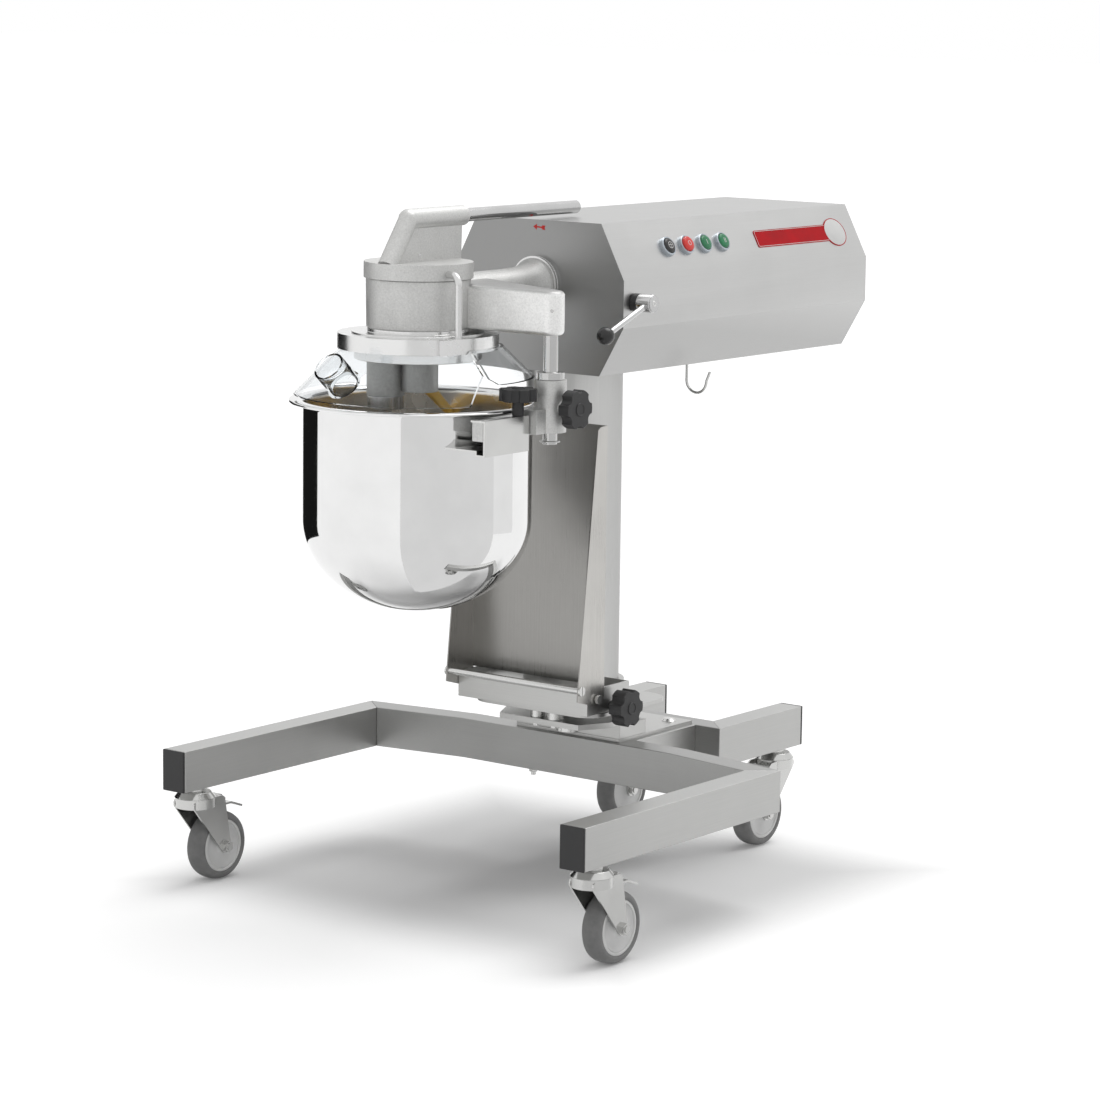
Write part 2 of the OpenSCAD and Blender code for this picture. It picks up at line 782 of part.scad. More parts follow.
// Housing
module housing_section(inset = 0) {
    // Eight sided section in X and Z, inset by the sheet
    k = inset;
    polygon([
        [housing_top_half - k * 0.6, housing_top - k], [housing_half - k, upper_z - k * 0.3],
        [housing_half - k, lower_chamfer_z + k * 0.3], [housing_top_half - k * 0.6, housing_z + k],
        [-housing_top_half + k * 0.6, housing_z + k], [-housing_half + k, lower_chamfer_z + k * 0.3],
        [-housing_half + k, upper_z - k * 0.3], [-housing_top_half + k * 0.6, housing_top - k]
    ]);
}
module housing_slab(y0, y1, inset = 0) {
    translate([0, y1, 0]) rotate([90, 0, 0]) linear_extrude(y1 - y0) housing_section(inset);
}
module housing_shell() {
    color("silver") difference() {
        housing_slab(-housing_front, housing_rear - sheet_t);
        housing_slab(-housing_front + sheet_t, housing_rear, sheet_t);
        along_y(-housing_front - cut, -housing_front + sheet_t + cut, 30, 0, drive_z);
        translate([0, 0, housing_z - cut]) cylinder(r = 40, h = sheet_t + 2 * cut);
        button_places() translate([0, 0, -4]) cylinder(r = button_r - 1, h = 8);
        along_x(housing_half - 4, housing_half + cut, 8, lever_y, lever_z);
    }
}
module rear_panel() {
    slots = 7;
    color("silver") difference() {
        housing_slab(housing_rear - sheet_t, housing_rear);
        for (i = [0 : slots - 1])
            translate([-60, housing_rear - sheet_t - cut, housing_z + 60 + i * 14])
                cube([120, sheet_t + 2 * cut, 5]);
    }
}
module mount_plate() {
    color("gray") difference() {
        translate([-mount_half, -mount_front, housing_z + sheet_t])
            cube([2 * mount_half, mount_front + mount_rear, mount_t]);
        translate([0, 0, housing_z]) cylinder(r = 40, h = 20);
    }
}
module gearbox() {
    bearing_front = gearbox_front + 12;
    color("gray") difference() {
        union() {
            translate([-gearbox_half, -gearbox_front, mount_top])
                cube([2 * gearbox_half, gearbox_front + motor_y, drive_z + gearbox_half - mount_top]);
            along_y(-bearing_front, -gearbox_front, 40, 0, drive_z);
        }
        along_y(-bearing_front - cut, 0, drive_r + run_gap, 0, drive_z);
    }
}
module motor() {
    fan_y = motor_end - 45;
    foot_w = 20;
    color("darkslategray") {
        along_y(motor_y, motor_y + 12, motor_r + 6, 0, drive_z);
        along_y(motor_y + 12, fan_y, motor_r, 0, drive_z);
        along_y(fan_y, motor_end, motor_r + 4, 0, drive_z);
        translate([-terminal_half, motor_y + 60, drive_z + motor_r - 12])
            cube([2 * terminal_half, 2 * terminal_half, 32]);
        // Feet down to the mounting plate
        for (x = [-motor_r + 2, motor_r - 2 - foot_w]) translate([x, motor_y + 20, mount_top])
            cube([foot_w, 60, drive_z - mount_top - 45]);
    }
}
module hub_flange() {
    // Polished ring that takes the neck of an attachment
    y0 = -housing_front - hub_t;
    color("lightgray") difference() {
        union() {
            along_y(y0, -housing_front, hub_r, 0, drive_z, 96);
            along_y(-housing_front, -72, 29.7, 0, drive_z, 96);
        }
        along_y(y0 - cut, -72, drive_r + 3, 0, drive_z);
        translate([0, y0 + 5, drive_z]) rotate([90, 0, 0]) difference() {
            cylinder(r = hub_r + cut, h = 1.6, $fn = 96);
            translate([0, 0, -cut]) cylinder(r = hub_r - 2, h = 4, $fn = 96);
        }
    }
}
module drive_shaft() {
    // Shaft from the gearbox to the head, with the bevel pinion
    y1 = -head_y + bevel_far + bevel_gap;
    color("silver") {
        along_y(y1, -10, drive_r, 0, drive_z);
        translate([0, y1, drive_z]) rotate([90, 0, 0]) cylinder(
            r1 = bevel_far / 2 - bevel_gap, r2 = bevel_near / 2 - bevel_gap, h = bevel_far - bevel_near);
    }
}
module on_slope(y) {
    // Place on the upper chamfer of the operator's side, +Z outwards
    translate([button_x, y, button_z]) rotate([0, slope_angle, 0]) children();
}
module button_places() {
    for (i = [0 : 3]) on_slope(first_button_y + i * button_pitch) children();
}
module button_bezels() {
    // Bezels, each with its switch block behind the panel
    color("silver") button_places() difference() {
        union() {
            cylinder(r = bezel_r, h = button_travel + 1, $fn = 48);
            translate([0, 0, -34]) cylinder(r = button_r - 1.5, h = 35, $fn = 32);
        }
        translate([0, 0, 1]) cylinder(r = button_r + 0.5, h = button_travel + 1, $fn = 48);
        translate([0, 0, -button_travel - 4]) cylinder(r = 5, h = 20, $fn = 32);
    }
}
module button(i, r, proud) {
    on_slope(first_button_y + i * button_pitch) {
        translate([0, 0, 1 + gap + button_travel]) cylinder(r1 = r, r2 = r - 1, h = proud, $fn = 48);
        translate([0, 0, -3]) cylinder(r = 4.5, h = 4 + gap + button_travel, $fn = 32);
    }
}
module button_black() {
    color("black") button(0, button_r, 3);
}
module button_red() {
    color("red") button(1, button_r, 5);
}
module button_green_front() {
    color("green") button(2, button_r, 3);
}
module button_green_rear() {
    color("green") button(3, button_r, 3);
}
module nameplate() {
    // Plain plate with a plain disc, no lettering
    plate_y = 250;
    plate_len = 216;
    color("crimson") on_slope(plate_y) {
        translate([-13, 0, 0]) cube([26, plate_len, 1]);
        translate([0, plate_len + 16, 0]) cylinder(r = 22, h = 1.2);
    }
}
module clamp_lever() {
    // Lever that clamps the attachment in the hub
    y1 = lever_y - lever_len * cos(lever_drop);
    z1 = lever_z - lever_len * sin(lever_drop);
    x = lever_x + 26;
    color("lightgray") {
        along_x(lever_x - 12, lever_x + 1, 7.9, lever_y, lever_z);
        along_x(lever_x + 1, lever_x + 16, 13, lever_y, lever_z);
        along_x(lever_x + 16, lever_x + 36, 11.5, lever_y, lever_z);
        rod([x, lever_y, lever_z], [x, y1, z1], 4.5);
        translate([x, y1, z1]) sphere(r = 12.5, $fn = 48);
    }
}
module towel_hook() {
    x0 = housing_top_half - 9;
    y0 = 135;
    r = 17.5;
    straight = 24;
    w = 2;
    z0 = housing_z - straight;
    color("silver") {
        translate([x0, y0, z0]) cylinder(r = w, h = straight, $fn = 24);
        translate([x0 + r, y0, z0]) rotate([90, 0, 0]) rotate([0, 0, 180])
            rotate_extrude(angle = 180, $fn = 64) translate([r, 0]) circle(r = w, $fn = 24);
        rod([x0 + 2 * r, y0, z0], [x0 + 2 * r + 6, y0, z0 + 14], w, 24);
    }
}

// Head
module head_casting() {
    // Head body with the neck to the hub and the arm to the post
    color("darkgray") difference() {
        union() {
            head_axis() translate([0, 0, head_z])
                cylinder(r1 = head_r - 1, r2 = head_r, h = head_h, $fn = 96);
            head_axis() translate([0, 0, head_z + head_h]) cylinder(r = boss_r, h = 14, $fn = 64);
            along_y(-head_y, -housing_front - hub_t, neck_r, 0, drive_z, 64);
            translate([0, -housing_front - hub_t, drive_z]) rotate([90, 0, 0])
                cylinder(r1 = 37, r2 = neck_r, h = 26, $fn = 64);
            translate([0, 0, arm_z]) linear_extrude(arm_top - arm_z) union() {
                translate([post_x, post_y]) circle(r = arm_r, $fn = 48);
                polygon([
                    [30, arm_front], [post_x, post_y - arm_r],
                    [post_x + arm_r * sin(21.9), post_y + arm_r * cos(21.9)],
                    [0, -head_y + 141], [0, -head_y + 50]
                ]);
            }
        }
        head_axis() translate([0, 0, head_z - cut])
            cylinder(r = head_r - head_wall, h = head_h - head_wall + cut, $fn = 96);
        head_axis() translate([0, 0, head_z + head_h - 8]) cylinder(r = 14 + run_gap, h = 4, $fn = 48);
        along_y(-head_y, -housing_front - hub_t + cut, drive_r + 3, 0, drive_z);
        translate([post_x, post_y, arm_z - cut]) cylinder(r = post_r, h = cut + 25);
    }
}
module head_cap() {
    // Turning cap with the bracket for the handle
    y0 = -head_y - 70;
    color("darkgray") difference() {
        union() {
            head_axis() translate([0, 0, cap_z]) cylinder(r = cap_r, h = cap_h, $fn = 96);
            along_y(handle_front, handle_back, handle_socket_r, 0, handle_z);
            translate([0, handle_front, handle_z]) sphere(r = handle_socket_r, $fn = 48);
            rod([0, y0 + 4, cap_top - 4], [0, handle_front, handle_z], handle_socket_r - 0.5, 48);
            translate([-5, 0, 0]) rotate([90, 0, 90]) linear_extrude(10) polygon([
                [y0 + 4, cap_top - 2], [handle_front, handle_z], [handle_back - 6, handle_z],
                [handle_back - 8, cap_top - 2]
            ]);
        }
        head_axis() translate([0, 0, cap_z - cut]) cylinder(r = boss_r + run_gap, h = 15.5, $fn = 64);
        along_y(handle_back - 40, handle_back + cut, handle_r, 0, handle_z);
        rod_hole();
    }
}
module rod_hole() {
    head_axis() rotate([0, 0, rod_angle]) translate([cap_r - 20, 0, rod_z]) rotate([0, 90, 0])
        cylinder(r = rod_r, h = 30, $fn = 32);
}
module handle_rod() {
    color("silver") {
        along_y(handle_back - 40, handle_back + handle_len, handle_r, 0, handle_z);
    }
}
module guide_rod() {
    // Bent rod from the cap down to the guard ring
    color("silver") head_axis() rotate([0, 0, rod_angle]) {
        translate([cap_r - 20, 0, rod_z]) rotate([0, 90, 0])
            cylinder(r = rod_r, h = rod_radius - rod_bend - cap_r + 20, $fn = 32);
        translate([rod_radius - rod_bend, 0, rod_z - rod_bend]) rotate([90, 0, 0])
            rotate_extrude(angle = 90, $fn = 64) translate([rod_bend, 0]) circle(r = rod_r, $fn = 32);
        translate([rod_radius, 0, rod_seat]) cylinder(r = rod_r, h = rod_z - rod_bend - rod_seat, $fn = 32);
    }
}
module guard_ring() {
    color("lightgray") head_axis() difference() {
        union() {
            translate([0, 0, ring_z]) ring(ring_r, ring_in + run_gap, ring_h);
            rotate([0, 0, rod_angle - 14]) translate([ring_r - 8, -9, ring_z]) cube([16, 18, ring_h]);
        }
        rotate([0, 0, rod_angle]) translate([rod_radius, 0, rod_seat]) cylinder(r = rod_r, h = 10, $fn = 32);
    }
}
module cone_sector(r_top, z_top, r_low, z_low, t, from, sweep) {
    // Part of a conical shell between two radii of its outer face
    w = t * norm([r_low - r_top, z_top - z_low]) / (z_top - z_low);
    rotate([0, 0, from]) rotate_extrude(angle = sweep, $fn = 128)
        polygon([[r_top - w, z_top], [r_top, z_top], [r_low, z_low], [r_low - w, z_low]]);
}
module on_chute() {
    rotate([0, 0, chute_angle]) translate([chute_out, 0, guard_z + guard_r - chute_out])
        rotate([0, chute_tilt, 0]) children();
}
module guard_corner() {
    // Cut across the lower corner at the end of the front guard, seen from above
    translate([0, 0, guard_z - cut]) linear_extrude(ring_z - guard_z + cut)
        polygon([[132.4, -21], [149.1, -63.3], [190, -166], [260, -166], [260, -21]]);
}
module splash_guard() {
    // Clear shield that turns with the guard ring, with its filling chute
    middle = guard_from + guard_sweep / 2;
    inside = guard_t * 1.5;
    color("lightblue", 0.4) head_axis() difference() {
        union() {
            cone_sector(guard_top_r, ring_z, guard_r, guard_z, guard_t, guard_from, guard_sweep);
            difference() {
                on_chute() translate([0, 0, -8]) cylinder(r = chute_r, h = chute_len + 8, $fn = 64);
                translate([0, 0, guard_z]) cylinder(
                    r1 = guard_r - inside, r2 = guard_top_r - inside, h = ring_z - guard_z, $fn = 128);
            }
        }
        on_chute() translate([0, 0, -30]) cylinder(r = chute_r - guard_t, h = chute_len + 60, $fn = 64);
        guard_corner();
        rotate([0, 0, middle]) mirror([0, 1, 0]) rotate([0, 0, -middle]) guard_corner();
    }
}
module rear_guard() {
    // Clear shield that stays behind the head, outside the turning one
    color("lightblue", 0.4) head_axis() difference() {
        cone_sector(strap_r, rear_guard_top, rear_guard_r, rear_guard_low, guard_t, -11, 161);
        translate([0, 0, rear_guard_low - cut]) linear_extrude(rear_guard_top - rear_guard_low + cut)
            polygon([[149.2, -29], [165.6, -11.6], [200, 25], [200, -60], [149.2, -60]]);
    }
}
module fixed_ring() {
    // Ring under the head that carries the guard ring, and the strap of the rear guard
    step_z = ring_z - 2.5;
    top_z = ring_z + ring_h;
    color("lightgray") head_axis() {
        rotate_extrude($fn = 96) polygon([
            [fixed_bore + run_gap, fixed_low], [fixed_r, fixed_low], [fixed_r, step_z], [ring_in, step_z],
            [ring_in, top_z + 2], [head_r - 2, top_z + 2], [head_r - 2, head_z], [64, head_z],
            [64, top_z], [fixed_bore + run_gap, top_z]
        ]);
        rotate([0, 0, strap_from]) rotate_extrude(angle = strap_sweep, $fn = 96) polygon([
            [fixed_r, strap_low], [strap_r - 3.5, strap_low], [strap_r - 3.5, rear_guard_top],
            [strap_r, rear_guard_top], [strap_r, strap_top], [fixed_r, strap_top]
        ]);
    }
}

// Gears
module tooth_row(count, pitch_r, inner, outer, thick) {
    // Straight sided teeth around a circle, each thinner towards its tip
    for (i = [0 : count - 1]) rotate(i * 360 / count)
        polygon([[inner, -thick * 0.7], [outer, -thick * 0.35], [outer, thick * 0.35], [inner, thick * 0.7]]);
}
module ring_gear() {
    thick = 0.36 * PI * gear_module;
    color("gray") head_axis() translate([0, 0, gear_z]) difference() {
        union() {
            ring(head_r - head_wall, ring_pitch + 1.9, gear_h);
            linear_extrude(gear_h) rotate(planet_angle + 180 / ring_teeth)
                tooth_row(ring_teeth, ring_pitch, ring_pitch + 2.4, ring_pitch - 1.4, thick);
        }
    }
}
module tool_spindle() {
    thick = 0.36 * PI * gear_module;
    color("silver") translate([planet_x, planet_y, 0]) difference() {
        union() {
            translate([0, 0, socket_z]) cylinder(r = spindle_r, h = gear_z + gear_h + 3 - socket_z);
            translate([0, 0, socket_z]) cylinder(r = socket_r, h = socket_h, $fn = 64);
            translate([0, 0, gear_z]) cylinder(r = planet_pitch - 2, h = gear_h, $fn = 64);
            translate([0, 0, gear_z]) linear_extrude(gear_h) rotate(planet_angle)
                tooth_row(planet_teeth, planet_pitch, planet_pitch - 2.4, planet_pitch + 1.4, thick);
        }
        translate([0, 0, socket_z - cut]) cylinder(r = shank_r, h = socket_h + cut);
    }
}
module planet_carrier() {
    // Carrier with its shaft, the bevel wheel and the spindle housings
    low = fixed_low - gap;
    top = head_z;
    color("dimgray") difference() {
        union() {
            head_axis() {
                translate([0, 0, carrier_low]) cylinder(r = fixed_bore, h = top - carrier_low, $fn = 96);
                translate([0, 0, top]) cylinder(r = 14, h = head_h - 6, $fn = 48);
                translate([0, 0, drive_z - bevel_far / 2])
                    cylinder(r1 = bevel_far, r2 = bevel_near, h = (bevel_far - bevel_near) / 2, $fn = 64);
                translate([16, -15, rim_z + 13]) cylinder(r = 25, h = low - rim_z - 13, $fn = 64);
            }
            translate([planet_x, planet_y, housing_low]) cylinder(r = 26, h = low - housing_low, $fn = 64);
        }
        translate([planet_x, planet_y, housing_low - cut])
            cylinder(r = spindle_r + run_gap, h = top - housing_low + 2 * cut);
    }
}
module beater_outline() {
    // Flat beater in X and Z about its own axis
    top = housing_low - 32;
    low = bowl_low + 32;
    difference() {
        hull() {
            translate([-52, top - 16]) circle(r = 14, $fn = 32);
            translate([52, top - 16]) circle(r = 14, $fn = 32);
            translate([-40, low + 62]) circle(r = 26, $fn = 32);
            translate([40, low + 62]) circle(r = 26, $fn = 32);
            translate([0, low + 30]) circle(r = 30, $fn = 32);
        }
        hull() {
            translate([-46, top - 26]) circle(r = 8, $fn = 24);
            translate([46, top - 26]) circle(r = 8, $fn = 24);
            translate([-36, low + 66]) circle(r = 16, $fn = 24);
            translate([36, low + 66]) circle(r = 16, $fn = 24);
            translate([0, low + 32]) circle(r = 18, $fn = 24);
        }
    }
    translate([-6, low + 8]) square([12, top - low - 12]);
    for (z = [low + 80, low + 140]) translate([-60, z]) square([120, 9]);
}
module beater() {
    color("silver") translate([planet_x, planet_y, 0]) rotate([0, 0, -35]) {
        translate([0, 4, 0]) rotate([90, 0, 0]) linear_extrude(8) beater_outline();
        translate([0, 0, housing_low - 36]) cylinder(r = shank_r, h = 36 - gap, $fn = 48);
    }
}
module scraper() {
    // Yellow wall scraper on its arm, in the plane of the radius
    wall = bowl_r - bowl_wall - 3;
    back = wall - 18;
    curve = [for (a = [0 : 7 : 21]) [wall * cos(a), bowl_mid - (bowl_round - 5) * sin(a)]];
    inner = [for (a = [21 : -7 : 0]) [back * cos(a), bowl_mid - (bowl_round - 23) * sin(a)]];
    color("gold") head_axis() rotate([0, 0, scraper_angle]) translate([0, 3.5, 0]) rotate([90, 0, 0])
        linear_extrude(7) polygon(concat(
            [[28, carrier_low], [48, carrier_low], [48, rim_z + 20], [wall, rim_z - 30]],
            curve, inner, [[back, rim_z - 36], [28, rim_z + 8]]
        ));
}

// Bowl and its carrier
module post() {
    color("silver") {
        translate([post_x, post_y, post_low]) cylinder(r = post_r, h = arm_z + 25 - post_low, $fn = 48);
        translate([post_x, post_y, clamp_z + clamp_h + gap]) ring(19, post_r, collar_h);
        translate([post_x, post_y, post_low + 3]) ring(post_r + 4, post_r, 2);
    }
}
module clamp_body() {
    // Clamp on the post with the bar that carries the bowl
    color("darkgray") difference() {
        union() {
            translate([post_x, post_y, clamp_z]) cylinder(r = clamp_r, h = clamp_h, $fn = 64);
            translate([bar_x, bracket_back + 2, clamp_z])
                cube([clamp_r + 10, post_y - bracket_back - 8, rim_z - clamp_z]);
            translate([bar_x, bracket_back - bracket_len, bar_low]) cube([bar_w, bracket_len + 10, bar_h]);
            along_x(post_x + clamp_r - 6, post_x + clamp_r + 7, 10, post_y, clamp_knob_z);
        }
        translate([post_x, post_y, clamp_z - cut])
            cylinder(r = post_r + run_gap, h = clamp_h + 2 * cut, $fn = 48);
        along_x(post_x, post_x + clamp_r + 8, 5 + run_gap, post_y, clamp_knob_z);
        head_axis() translate([0, 0, rim_z - 20]) cylinder(r = rim_r + 1.4, h = 30, $fn = 128);
        translate([knob_x, knob_y, bar_low - cut])
            cylinder(r = knob_screw_r + run_gap, h = bar_h + 2 * cut, $fn = 32);
    }
}
module clamp_knob() {
    seat = post_x + clamp_r + 12;
    color("black") translate([seat, post_y, clamp_knob_z]) rotate([0, 90, 0]) star_knob(knob_r, 17);
    color("silver") along_x(post_x + post_r + gap, seat, 5, post_y, clamp_knob_z);
}
module bracket_knob() {
    seat = bracket_top + 20;
    color("black") {
        translate([knob_x, knob_y, seat]) star_knob(knob_r - 1.5, 17);
        translate([knob_x, knob_y, bracket_top + gap]) ring(8, knob_screw_r, 20 - gap);
    }
    color("silver") translate([knob_x, knob_y, bar_low + 4])
        cylinder(r = knob_screw_r, h = seat - bar_low - 4, $fn = 32);
}
function bowl_arc(r, depth, n) = [
    for (i = [0 : n]) let (a = i * 90 / n) [r * cos(a), bowl_mid - depth * sin(a)]
];
module bowl() {
    n = 18;
    outer = bowl_arc(bowl_r, bowl_round, n);
    inner = bowl_arc(bowl_r - bowl_wall, bowl_round - bowl_wall, n);
    inside = [for (i = [n : -1 : 0]) inner[i]];
    color("silver") {
        head_axis() rotate_extrude($fn = 128) polygon(concat(
            outer, inside,
            [
                [bowl_r - bowl_wall, rim_z], [rim_r, rim_z], [rim_r, rim_z - 4], [rim_r - 1.5, rim_z - 4],
                [rim_r - 1.5, rim_z - 1.5], [bowl_r, rim_z - 1.5]
            ]
        ));
        bowl_bracket();
    }
}
module bowl_bracket() {
    // Folded hook plate welded to the bowl's wall
    y0 = bracket_back - bracket_len;
    lip_z = bracket_low + 8;
    difference() {
        union() {
            translate([bracket_x, y0, bracket_top - bracket_t]) cube([bracket_w, bracket_len, bracket_t]);
            translate([bracket_x + bracket_w - bracket_t, y0, bracket_low])
                cube([bracket_t, bracket_len, bracket_top - bracket_low]);
            translate([bracket_x + 8, y0, bracket_low]) cube([bracket_w - 8, bracket_len, bracket_t]);
            translate([bracket_x + 8, y0, bracket_low]) cube([bracket_t, bracket_len, lip_z - bracket_low]);
            translate([90, y0, lip_z - bracket_t]) cube([bracket_x + 8 - 90, bracket_len, bracket_t]);
        }
        head_axis() translate([0, 0, bracket_low - cut]) cylinder(r = bowl_r, h = 80, $fn = 128);
        translate([knob_x, knob_y, bracket_top - bracket_t - cut])
            cylinder(r = knob_screw_r + run_gap, h = bracket_t + 2 * cut, $fn = 32);
    }
}

leg_tubes();
front_beam();
spine_tubes();
rear_beam();
end_caps();
base_plate();
foot_block();
lower_plate();
base_fasteners();
bearing_plate();
king_pin();
caster_stems();
fork_front_left();
fork_front_right();
fork_rear_left();
fork_rear_right();
wheel_front_left();
wheel_front_right();
wheel_rear_left();
wheel_rear_right();
pedal_left();
pedal_right();
column_foot();
column_tube();
lock_knob();
shelf_panel();
shelf_bar();
housing_shell();
rear_panel();
mount_plate();
motor();
gearbox();
drive_shaft();
hub_flange();
button_bezels();
button_black();
button_red();
button_green_front();
button_green_rear();
nameplate();
clamp_lever();
towel_hook();
head_casting();
head_cap();
handle_rod();
guide_rod();
guard_ring();
splash_guard();
fixed_ring();
rear_guard();
ring_gear();
planet_carrier();
tool_spindle();
beater();
scraper();
post();
clamp_body();
clamp_knob();
bowl();
bracket_knob();
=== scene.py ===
"""Looks of the mobile planetary mixer: studio, materials and finished pieces over the CAD solids."""
import json
import math
import bmesh
import bpy
from mathutils import Matrix, Vector


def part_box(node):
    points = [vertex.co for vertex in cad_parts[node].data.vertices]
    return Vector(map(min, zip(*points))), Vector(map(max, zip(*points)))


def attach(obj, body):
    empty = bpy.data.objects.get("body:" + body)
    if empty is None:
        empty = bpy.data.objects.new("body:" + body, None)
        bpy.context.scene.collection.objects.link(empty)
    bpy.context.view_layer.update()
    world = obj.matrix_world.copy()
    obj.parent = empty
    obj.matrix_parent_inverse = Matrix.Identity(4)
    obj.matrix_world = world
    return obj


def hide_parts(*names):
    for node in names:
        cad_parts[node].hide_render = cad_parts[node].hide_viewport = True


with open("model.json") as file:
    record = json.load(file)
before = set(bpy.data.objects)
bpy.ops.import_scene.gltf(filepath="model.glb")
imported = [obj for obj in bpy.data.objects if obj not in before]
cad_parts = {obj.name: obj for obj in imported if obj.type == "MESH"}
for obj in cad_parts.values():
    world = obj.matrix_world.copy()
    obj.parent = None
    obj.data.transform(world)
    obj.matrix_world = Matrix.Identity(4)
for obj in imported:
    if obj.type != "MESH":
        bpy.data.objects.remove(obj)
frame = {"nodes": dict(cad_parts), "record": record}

NODES = frame["nodes"]
BODY_OF = {n: b for b, names in frame["record"]["behaviour"]["bodies"].items() for n in names}
SLOT_OF = {s["node"]: s["material_slot"] for s in frame["record"]["subparts"]}
scene = bpy.context.scene
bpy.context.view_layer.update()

# Places taken from the CAD solids, in metres
HEAD_Y = -0.356
HEAD = Vector((0, HEAD_Y, 0))
RIM_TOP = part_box("bowl")[1].z
SWIVEL_Y = (-0.420, 0.348)
SWIVEL_X = (0.358, 0.128)
SLOPE_TOP = (0.112, 0.962)
SLOPE_SIDE = (0.153, 0.884)
# Each cone: radius and height of its upper edge and of its lower edge; each arc: start and sweep
FRONT_CONE, FRONT_ARC = ((0.106, 0.800), (0.170, 0.736)), (-215, 206)
REAR_CONE, REAR_ARC = ((0.117, 0.804), (0.160, 0.762)), (-11, 161)
CAVITY_LIMIT = 0.0665
CAVITY_TOP = 0.891
LEVER_HUB = (0, -0.067, 0.853)
LEVER_BALL = Vector((0.179, -0.1669, 0.8147))

# Painted shadow, a soft dark patch of the floor under the machine: middle and half size along x and y,
# softness, and the floor's levels
PAINTED_SHADOW_X = (0.0, 0.40)
PAINTED_SHADOW_Y = (-0.05, 0.37)
PAINTED_SHADOW_SOFT = 0.12
PAINTED_SHADOW_LEVEL = 0.02
FLOOR_RISE = 0.40

# Lamp: where it shines from, its strength and its width in degrees
LAMP_FROM = (0.10, 0.45, 1.0)
LAMP_STRENGTH = 1.45
LAMP_WIDTH = 45

# Cards seen only as reflections in metal: distance, height, directions in degrees, and greys
CARD_FAR = 2.6
CARD_TALL = 1.6
GREY_FROM, GREY_TO, PALE_TO = -66.5, 30, 58
GREY_LEVEL, PALE_LEVEL, DARK_LEVEL = 0.84, 0.95, 0.01
DARK_X, DARK_FRONT, DARK_REAR, DARK_TALL = -1.9, -0.85, 0.75, 1.3


# Materials

class Shader:
    """A material with a Principled BSDF and helpers for the nodes that feed it."""

    def __init__(self, name):
        self.material = bpy.data.materials.new(name)
        self.material.use_nodes = True
        self.tree = self.material.node_tree
        self.bsdf = self.tree.nodes["Principled BSDF"]
        self.coords = self.add("ShaderNodeTexCoord").outputs["Object"]

    def add(self, kind, **values):
        node = self.tree.nodes.new(kind)
        for key, value in values.items():
            setattr(node, key, value)
        return node

    def link(self, output, target):
        self.tree.links.new(output, target)

    def set(self, **values):
        for key, value in values.items():
            self.bsdf.inputs[key.replace("_", " ")].default_value = value
        return self

    def mapped(self, scale, turn=(0, 0, 0)):
        node = self.add("ShaderNodeMapping")
        self.link(self.coords, node.inputs["Vector"])
        node.inputs["Scale"].default_value = scale
        node.inputs["Rotation"].default_value = turn
        return node.outputs["Vector"]

    def noise(self, vector, scale=1.0, detail=4.0, rough=0.55):
        node = self.add("ShaderNodeTexNoise")
        self.link(vector, node.inputs["Vector"])
        node.inputs["Scale"].default_value = scale
        node.inputs["Detail"].default_value = detail
        node.inputs["Roughness"].default_value = rough
        return node.outputs["Fac"]

    def span(self, value, low, high, source=(0.3, 0.7)):
        node = self.add("ShaderNodeMapRange")
        self.link(value, node.inputs["Value"])
        node.inputs["From Min"].default_value = source[0]
        node.inputs["From Max"].default_value = source[1]
        node.inputs["To Min"].default_value = low
        node.inputs["To Max"].default_value = high
        return node.outputs["Result"]

    def blend(self, value, first, second):
        node = self.add("ShaderNodeMix", data_type="RGBA")
        self.link(value, node.inputs["Factor"])
        node.inputs["A"].default_value = (*first, 1)
        node.inputs["B"].default_value = (*second, 1)
        return node.outputs["Result"]

    def bump(self, height, strength, distance, below=None):
        node = self.add("ShaderNodeBump")
        self.link(height, node.inputs["Height"])
        node.inputs["Strength"].default_value = strength
        node.inputs["Distance"].default_value = distance
        if below is not None:
            self.link(below, node.inputs["Normal"])
        return node.outputs["Normal"]

    def paint(self, color=None, roughness=None, normal=None):
        for socket, value in (("Base Color", color), ("Roughness", roughness), ("Normal", normal)):
            if value is not None:
                self.link(value, self.bsdf.inputs[socket])
        return self.material


def shade(color, factor):
    return tuple(min(1.0, c * factor) for c in color)


def painted_shade_by_facing(s, color_out, axis, level, factor):
    """Painted shade: darkens the colour on the faces that look along an axis beyond a level."""
    parts = s.add("ShaderNodeSeparateXYZ")
    s.link(s.tree.nodes["Texture Coordinate"].outputs["Normal"], parts.inputs[0])
    painted_shade_facing = s.span(parts.outputs[axis], 0, 1, level)
    mix = s.add("ShaderNodeMix", data_type="RGBA", blend_type="MULTIPLY")
    s.link(painted_shade_facing, mix.inputs["Factor"])
    s.link(color_out, mix.inputs["A"])
    mix.inputs["B"].default_value = (factor, factor, factor, 1)
    return mix.outputs["Result"]


